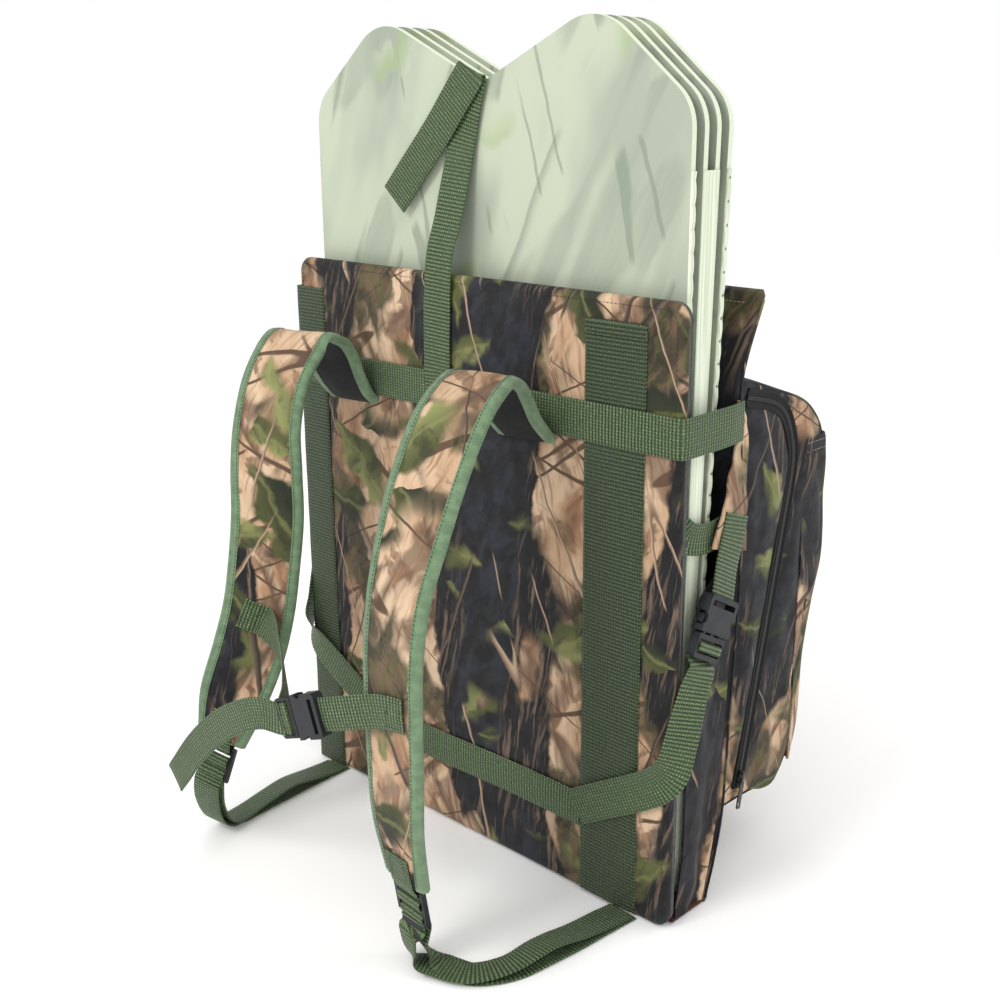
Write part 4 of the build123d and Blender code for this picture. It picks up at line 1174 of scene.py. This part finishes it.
def rear_panel():
    """Padded rear wall of the sleeve, with its stitched top hem leaning back."""
    path, length, normal = smooth_profile(REAR_PATH, 5.0)
    fringe = np.array([0, 0.5, 1.4, 3.0, 5.0])
    t = np.concatenate([-1 + fringe / REAR_HALF, np.linspace(-1 + 9 / REAR_HALF, 1 - 9 / REAR_HALF, 84),
                        (1 - fringe / REAR_HALF)[::-1]])
    from_top = (length[-1] - length)[:, None]
    corner = 3.0
    tuck = corner - np.sqrt(np.clip(corner ** 2 - np.clip(corner - from_top, 0, corner) ** 2, 0, None))
    half = REAR_HALF - 0.9 * tuck
    x = half * t
    s = length[:, None] + 0 * x
    inside = half - np.abs(x)
    thick = 4.5 * edge_round(np.minimum(inside, from_top + 0.2), 5.0) + 0.15
    hem = np.exp(-((from_top - 15) / 3.0) ** 2) + np.exp(-((inside - 11) / 2.5) ** 2)
    puff = 1.4 * noise2(x + 300, s, 41, 91) + 0.8 * noise2(x + 300, s, 17, 92)
    puff = puff * np.clip(inside / 20, 0, 1) * np.clip(from_top / 20, 0, 1)
    sway = 3.0 * noise2(x + 300, 0 * s + 9, 90, 93) * np.clip((s - 420) / 200, 0, 1)
    grids = []
    for way in (-1, 1):
        offset = way * thick * (1 + 0.06 * puff - 0.22 * np.clip(hem, 0, 1)) + sway
        y, z = np.moveaxis(path[:, None] + normal[:, None] * offset[..., None], -1, 0)
        grids.append(coords(x, y, np.maximum(z, 0.0)))
    flat = coords(x, s) + PRINT_SHIFT["rear"]
    wall = shell("rear_panel", *grids, flat, [CAMO], sharp=70)
    settle(wall, "pack", ("rear_panel_cover", "rear_panel_foam"))

    rows, tubes = [], []
    top = np.argmin(np.abs(from_top - 15))
    for grid, way in zip(grids, (-1, 1)):
        outward = np.array([0, *normal[top]]) * way
        rows.append(dashes("row", grid[top, 6:-6] + outward * 0.1, outward, THREAD_PALE, 3.2, 1.5, 0.36))
        edge_y = path[:, 0] + sway[:, 0 if way < 0 else -1] * normal[:, 0]
        tubes.append(tube("piping", coords(way * (half[:, 0] + 0.8), edge_y, path[:, 1])[1:-2], 1.3, CAMO))
    settle(joined("rear_panel_hem", rows), "pack")
    settle(joined("rear_panel_piping", tubes), "pack")


def tube(name, path, radius, material, sides=8):
    """Round piping along a path."""
    side, out = frames_along(path, np.tile([1.0, 0.13, 0.07], (len(path), 1)))
    angle = (np.arange(sides) * math.tau / sides)[None, :, None]
    rings = path[:, None] + radius * np.cos(angle) * side[:, None] + radius * np.sin(angle) * out[:, None]
    flat = coords(np.arange(sides + 1) * radius * 0.8, arc_length(path)[:, None])
    return loft(name, rings, flat, [material], sharp=80)


def side_gussets():
    """Cloth between the back and rear panels, with loose upright folds."""
    parts = []
    z = np.linspace(4.0, 366, 74)
    front_y = np.interp(z, [4, 30, 70, 200, 345, 366], [-29, -26, -19, -18, -6, 22])
    rear_y = np.interp(z, [4, 44, 100, 200, 300, 366], [17, 27, 39, 44.5, 49.5, 53])
    t = np.linspace(0, 1, 16)
    y = front_y[:, None] + (rear_y - front_y)[:, None] * t
    height = z[:, None] + 0 * y
    for sign in (1, -1):
        fold = 3.2 * np.sin(math.tau * t) * np.clip((330 - height) / 200, 0.2, 1)
        fold = fold + 1.6 * noise2(y + 60, height * 0.5, 15, 95 + sign)
        fold = fold + noise2(y + 60, height, 34, 97 + sign)
        fold = fold * np.sin(math.pi * np.clip(t * 0.96 + 0.02, 0, 1))
        x = 268.6 + np.clip(fold, -4.5, 3.4)
        grids = (coords(sign * (x + 0.8), y, height), coords(sign * (x - 0.8), y, height),
                 coords(y, height) + PRINT_SHIFT["gusset"])
        parts.append(shell("gusset", *(grid[:, ::sign] for grid in grids), [CAMO], sharp=60))
    settle(joined("side_gussets", parts), "pack", ("side_gussets",))


def sleeve_base():
    """Cloth-covered foot of the sleeve, rounded where it turns up into the walls."""
    low, high = span("sleeve_base")
    x, y = np.meshgrid(np.linspace(low[0], high[0], 110), np.linspace(low[1] + 0.2, high[1], 14),
                       indexing="ij")
    inside = np.minimum(np.minimum(x - low[0], high[0] - x), np.minimum(y - low[1], high[1] - y))
    lift = 2.4 * (1 - edge_round(inside + 0.3, 5.0))
    base = shell("sleeve_base", coords(x, y, high[2] - lift * 0.6), coords(x, y, lift),
                 coords(x, y) + PRINT_SHIFT["base"], [BASE], sharp=60)
    settle(base, "pack", ("sleeve_base",))


# ---------------------------------------------------------------- bag

BAG_PROFILE = [(54, 550), (91, 540), (150, 520), (199, 502), (226, 482), (240, 462), (244.5, 438), (245, 414),
               (245, 327), (232, 268), (218, 210), (218, 161), (214, 122), (205, 92), (184, 67), (162, 66),
               (139, 73), (90, 74.5), (47, 75)]
POCKET_PROFILE = [(249, 459), (254, 436), (255, 414), (255, 327), (242, 268), (229, 210), (229, 161),
                  (225, 122), (217, 94), (209, 86)]
DOOR_CORNERS = [(93, 84), (93, 522), (158, 508), (187, 440), (109, 84)]
DOOR_RADII = [3, 6, 40, 40, 4]
BAG_HALF = 243.0


def rounded_outline(corners, radii, spacing):
    """Closed outline with its corners rounded, as evenly spaced points."""
    points = []
    corners = np.array(corners, float)
    for here, before, after, radius in zip(corners, np.roll(corners, 1, 0), np.roll(corners, -1, 0), radii):
        to_before, to_after = unit_rows(before - here), unit_rows(after - here)
        half_turn = math.acos(np.clip(to_before.dot(to_after), -1, 1)) / 2
        reach = min(radius / math.tan(half_turn), 0.48 * np.linalg.norm(before - here),
                    0.48 * np.linalg.norm(after - here))
        a, b = here + to_before * reach, here + to_after * reach
        for t in np.linspace(0, 1, 12):
            points.append((1 - t) ** 2 * a + 2 * t * (1 - t) * here + t * t * b)
    points = np.array(points + points[:1])
    return spaced(points, int(arc_length(points)[-1] / spacing) + 1)


def spaced(outline, count):
    """Evenly spaced points along a closed outline, first point repeated at the end."""
    length = arc_length(outline)
    return at_places(np.linspace(0, length[-1], count), length, outline)


DOOR = rounded_outline(DOOR_CORNERS, DOOR_RADII, 3.0)


def from_door(y, z):
    """Distance to the door's outline."""
    return np.min(np.hypot(y[..., None] - DOOR[:, 0], z[..., None] - DOOR[:, 1]), axis=-1)


def side_face(y, z, away):
    """Height of the bag's soft side above its sewn outline."""
    fold = 3.4 * noise2(y + 30, z * 0.2, 17, 101) + 1.8 * noise2(y, z, 37, 102)
    swell = 6.0 * np.clip(1 - ((z - 300) / 250) ** 4, 0, 1)
    return (swell + fold) * (1 - np.exp(-np.clip(away - 4, 0, None) / 16))


def ring_grid(inner, outer, rows):
    t = np.linspace(0, 1, rows)[:, None, None]
    return inner[None] * (1 - t) + outer[None] * t


def by_angle(outline, centre, angles):
    """Points of a star-shaped outline at given angles round a centre."""
    offset = outline - centre
    turn = np.unwrap(np.arctan2(offset[:, 1], offset[:, 0]))
    if turn[-1] < turn[0]:
        turn, outline = turn[::-1], outline[::-1]
    return at_places(turn[0] + np.mod(angles - turn[0], math.tau), turn, outline)


def side_sheet(name, grid, sign, body, fade=1.0):
    """One cloth sheet in the bag's side from a (y, z) grid; fade brings its edge back to the sewn outline."""
    y, z = np.moveaxis(grid, -1, 0)
    x = BAG_HALF - 0.6 + side_face(y, z, from_door(y, z) * fade)
    shift = PRINT_SHIFT["side"]
    flat = coords(y + shift[0] + (0 if sign > 0 else 350), z + shift[1])
    sheet = shell(name, coords(sign * (x + 0.6), y, z), coords(sign * (x - 0.8), y, z), flat, [CAMO, LINING_WITH_PAINTED_SHADE],
                  back_kind=1, sharp=60, joined=True)
    settle(sheet, body, (name,))


def bag_sides():
    """Cloth round each side door, the door itself and the zipper between them."""
    count = 190
    centre = np.array([135.0, 300.0])
    rim = spaced(DOOR, count)
    profile = smooth_profile(BAG_PROFILE, 3.0)[0]
    front = [(y + 5.4, z) for y, z in REAR_PATH if 76 < z < 549]
    outline = np.vstack([profile, [(49, 76)], front, [(52, 549)], profile[:1]])
    offset = rim - centre
    sewn = by_angle(outline, centre, np.arctan2(offset[:, 1], offset[:, 0]))
    outward = unit_rows(offset)
    fade = np.clip(np.linspace(1, 0, 16)[:, None] * 5, 0, 1)
    for side, sign in (("right", 1), ("left", -1)):
        side_sheet(f"bag_side_{side}", ring_grid(rim + outward, sewn, 16), sign, "pack", fade)
        name = f"side_door_{side}"
        side_sheet(name, ring_grid(centre + outward * 0.05, rim, 26), sign, name)
        zipper_run(side, sign)


def zipper_run(side, sign):
    """Coil and tapes along the door's free edges, from its lower corner to the top of its hinge."""
    line = [(110, 87), (125, 156), (140, 225), (155.5, 296), (171, 367), (182, 418), (184.5, 447), (178, 471),
            (167, 491), (152, 504), (130, 512.5), (95, 521)]
    even, length = smooth_rows([(y, z, 0) for y, z in line], 0.7)
    path = coords(sign * (BAG_HALF + 1.0), even[:, 0], even[:, 1])
    out = np.tile([float(sign), 0, 0], (len(path), 1))
    away = np.cross(unit_rows(np.gradient(path, axis=0)), out) * sign
    teeth = 0.35 * np.sin(math.tau * length / 2.1)[:, None]
    angle = np.arange(10) * math.tau / 10
    wide, tall = (2.3 + 0.5 * teeth) * np.cos(angle), (1.35 + teeth) * np.sin(angle) + 0.5
    rings = path[:, None] + wide[..., None] * away[:, None] + tall[..., None] * out[:, None]
    coil = loft(f"zip_coil_{side}", rings, coords(np.arange(11) * 0.9, length[:, None]), [ZIPPER], sharp=80)
    settle(coil, f"side_door_{side}")

    path, out, away, length = path[::6, None], out[::6, None], away[::6, None], length[::6, None]
    b = np.array([1.6, 3.2, 5.0, 6.6, 7.6, 8.6, 9.4, 9.8])
    h = np.array([0.5, 0.5, 0.6, 1.2, 2.0, 2.0, 1.2, 0.1])[:, None]
    for label, way, body, nodes in (("outer", 1, "pack", ("zip_tapes",) if side == "right" else ()),
                                    ("inner", -1, f"side_door_{side}", ())):
        top = path - out * 0.4 + way * b[:, None] * away + (h + 0.3) * out
        turned = slice(None, None, way * -sign)
        grids = (grid[:, turned] for grid in (top, top - (h + 0.5) * out, coords(b, length)))
        tape = shell(f"zip_tape_{label}_{side}", *grids, [LINING_WITH_PAINTED_SHADE], sharp=60)
        settle(tape, body, nodes)


def bag_shell():
    """Top, rear and bottom of the bag in one sagging cover, with piping at both sides."""
    path, length, inward = smooth_profile(BAG_PROFILE, 5.0)
    fringe = np.array([0, 0.6, 1.6, 3.2, 5.5, 8.5])
    half = BAG_HALF - 2.0
    x = np.concatenate([-half + fringe, np.linspace(-half + 13, half - 13, 78), (half - fringe)[::-1]])
    x, s = np.meshgrid(x, length)
    inside = half - np.abs(x)
    swell = 6.5 * (1 - np.exp(-inside / 40))
    swell = swell * np.clip((s - 30) / 60, 0, 1) * np.clip((length[-1] - s) / 60, 0, 1)
    wrinkle = 2.2 * noise2(x + 300, s, 58, 111) + 1.2 * noise2(x * 0.5 + 300, s, 20, 112)
    rise = swell + wrinkle * np.clip(inside / 30, 0, 1) - 2.4 * (1 - edge_round(inside + 0.4, 6.0))
    outer, inner = (path[:, None] - inward[:, None] * over[..., None] for over in (rise, rise - 1.6))
    kinds = np.tile(np.where(path[:-1, 1] < 100, 2, 0)[:, None], (1, x.shape[1] - 1))
    grids = (coords(x, outer[..., 0], outer[..., 1]), coords(x, inner[..., 0], inner[..., 1]),
             coords(x, s) + PRINT_SHIFT["bag"])
    cover = shell("bag_cover", *(grid[:, ::-1] for grid in grids), [CAMO, LINING_WITH_PAINTED_SHADE, BASE], back_kind=1, sharp=60,
                  kinds=kinds)
    settle(cover, "pack", ("bag_top", "bag_rear", "bag_bottom"))
    tubes = [tube("piping", coords(sign * (BAG_HALF - 0.4), path[:, 0], path[:, 1])[1:-1], 1.5, CAMO)
             for sign in (-1, 1)]
    settle(joined("bag_piping", tubes), "pack")


def outer_pocket():
    """Slip pocket over the bag's rear, open at its stitched top hem."""
    path, length, _ = smooth_profile(POCKET_PROFILE, 5.0)
    half, front = 247.0, 205.0
    rows = []
    for (y, z), s in zip(path, length):
        depth = max(y - front, 4.0)
        bend = min(12.0, depth - 1)
        right = [(half, front + t * (depth - bend)) for t in np.linspace(0, 1, 6)]
        right += [(half - bend * (1 - math.cos(a)), y - bend * (1 - math.sin(a)))
                  for a in np.linspace(0, math.pi / 2, 7)[1:]]
        swell = 8.0 * math.sin(math.pi * min(max((s - 6) / (length[-1] - 6), 0), 1)) ** 0.7
        across = np.linspace(half - bend, bend - half, 80)[1:-1]
        face = [(x, y + swell * (1 - (x / half) ** 2) ** 0.6) for x in across]
        rows.append([(x, v, z) for x, v in right + face + [(-x, v) for x, v in right[::-1]]])
    middle = np.array(rows)
    u, s = np.meshgrid(arc_length(middle[len(middle) // 2]), length)
    out = unit_rows(np.cross(np.gradient(middle, axis=1), np.gradient(middle, axis=0)))
    out = out * np.sign(out[..., 1].mean())
    wrinkle = 1.8 * noise2(u, s, 63, 121) + 1.0 * noise2(u, s * 0.6, 22, 122)
    rise = (wrinkle * np.clip(s / 30, 0, 1) + 0.7 * np.exp(-((s - 7) / 5.0) ** 2))[..., None]
    outer = middle + out * (rise + 0.9)
    wall = shell("outer_pocket", outer, middle + out * (rise - 0.9), coords(u, s) + PRINT_SHIFT["pocket"],
                 [CAMO, LINING_WITH_PAINTED_SHADE], back_kind=1, sharp=60)
    settle(wall, "pack", ("outer_pocket",))
    rows = [dashes("row", outer[k] + out[k] * 0.15, out[k], THREAD_PALE, 3.2, 1.5, 0.36) for k in (1, 3)]
    settle(joined("pocket_hem", rows), "pack")


# ---------------------------------------------------------------- folded blind edges

BOARD_PITCH = 7.5
BOARD_THICK = 6.4
BOARD_FAN = 0.8
LACE_PITCH = 21.0


def board_slice(k, z):
    """Front and rear y of board k at a height, with the stack fanned back."""
    y = BOARD_LOW[1] + BOARD_PITCH * k + math.tan(math.radians(BOARD_FAN * k)) * (z - BOARD_LOW[2])
    return y, y + BOARD_THICK


def edge_strip(name, sign, first, last, reach, scallop, seed):
    """Strip round the edges of neighbouring boards; scalloped where it is laced."""
    z = np.arange(30, 745, 2.6)
    front, rear = board_slice(first, z)[0], board_slice(last, z)[1]
    bump = (np.abs(np.sin(math.pi * z / LACE_PITCH)) ** 0.6 if scallop
            else 1 + 0.10 * noise2(z, 0 * z, 26, seed))
    x0 = BOARD_HIGH[0] + 0.25
    angle = np.linspace(0, math.pi, 11)
    out = x0 + (reach * (0.35 + 0.65 * bump))[:, None] * np.sin(angle) ** 0.7
    y = ((front + rear) / 2)[:, None] - ((rear - front) / 2 + 0.1)[:, None] * np.cos(angle)
    z = z[:, None]
    grids = coords(sign * out, y, z), coords(sign * (x0 - 0.05), y, z), coords(y, z)
    return shell(name, *(grid[:, ::sign] for grid in grids), [BOARD_TAPE], sharp=60)


def blind_edges():
    strips = [edge_strip("strip", sign, k, k + 1, 2.1, False, 131 + k) for k, sign in enumerate((-1, 1, -1))]
    settle(joined("hinge_strips", strips), "blind", ("hinge_strips",))
    laces = [edge_strip("lace", 1, k, k, 3.0, True, 141 + k) for k in (0, 3)]
    settle(joined("laced_edges", laces), "blind", ("laced_edges",))
    rows = []
    for z in np.arange(42, 740, LACE_PITCH):
        front = board_slice(3, z)[0]
        path = [(BOARD_HIGH[0] + 2.4, front + 2.2, z - 1.6), (BOARD_HIGH[0] + 2.6, front + 3.0, z + 2.2)]
        rows.append(dashes("hole", path, (1, -0.1, 0), EYELET, 2.6, 0.2, 0.6, 0.2))
    settle(joined("lace_eyelets", rows), "blind")


# ---------------------------------------------------------------- CAD nodes that stay

SIDES = ("right", "left")
KEPT = [
    (PLASTIC, ["side_buckle_sockets", "side_buckle_plugs", "sternum_socket", "sternum_plug",
               "sternum_prong_upper", "sternum_prong_lower"]),
    (PLASTIC, [f"{kind}_{side}" for kind in ("side_prong_front", "side_prong_rear", "ladder_lock")
               for side in SIDES]),
    (SLIDER, [f"{kind}_{side}" for kind in ("zip_slider", "pull_tab") for side in SIDES]),
    (BOARD, [f"blind_panel_{k}" for k in (1, 2, 3, 4)]),
    (FOAM, ["back_panel_foam"]),
    (STIFF, ["back_panel_stiffener"]),
]


def dress_cad():
    for material, names in KEPT:
        for name in names:
            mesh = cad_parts[name].data
            mesh.materials.clear()
            mesh.materials.append(material)


back_panel()
panel_webs()
cross_straps()
retaining_strap()
shoulder_strap("right", STRAP_RIGHT, 71)
shoulder_strap("left", STRAP_LEFT, 81)
lower_webs()
sternum_strap()
side_webs()
rear_panel()
side_gussets()
sleeve_base()
bag_sides()
bag_shell()
outer_pocket()
blind_edges()
dress_cad()
camera()
studio()
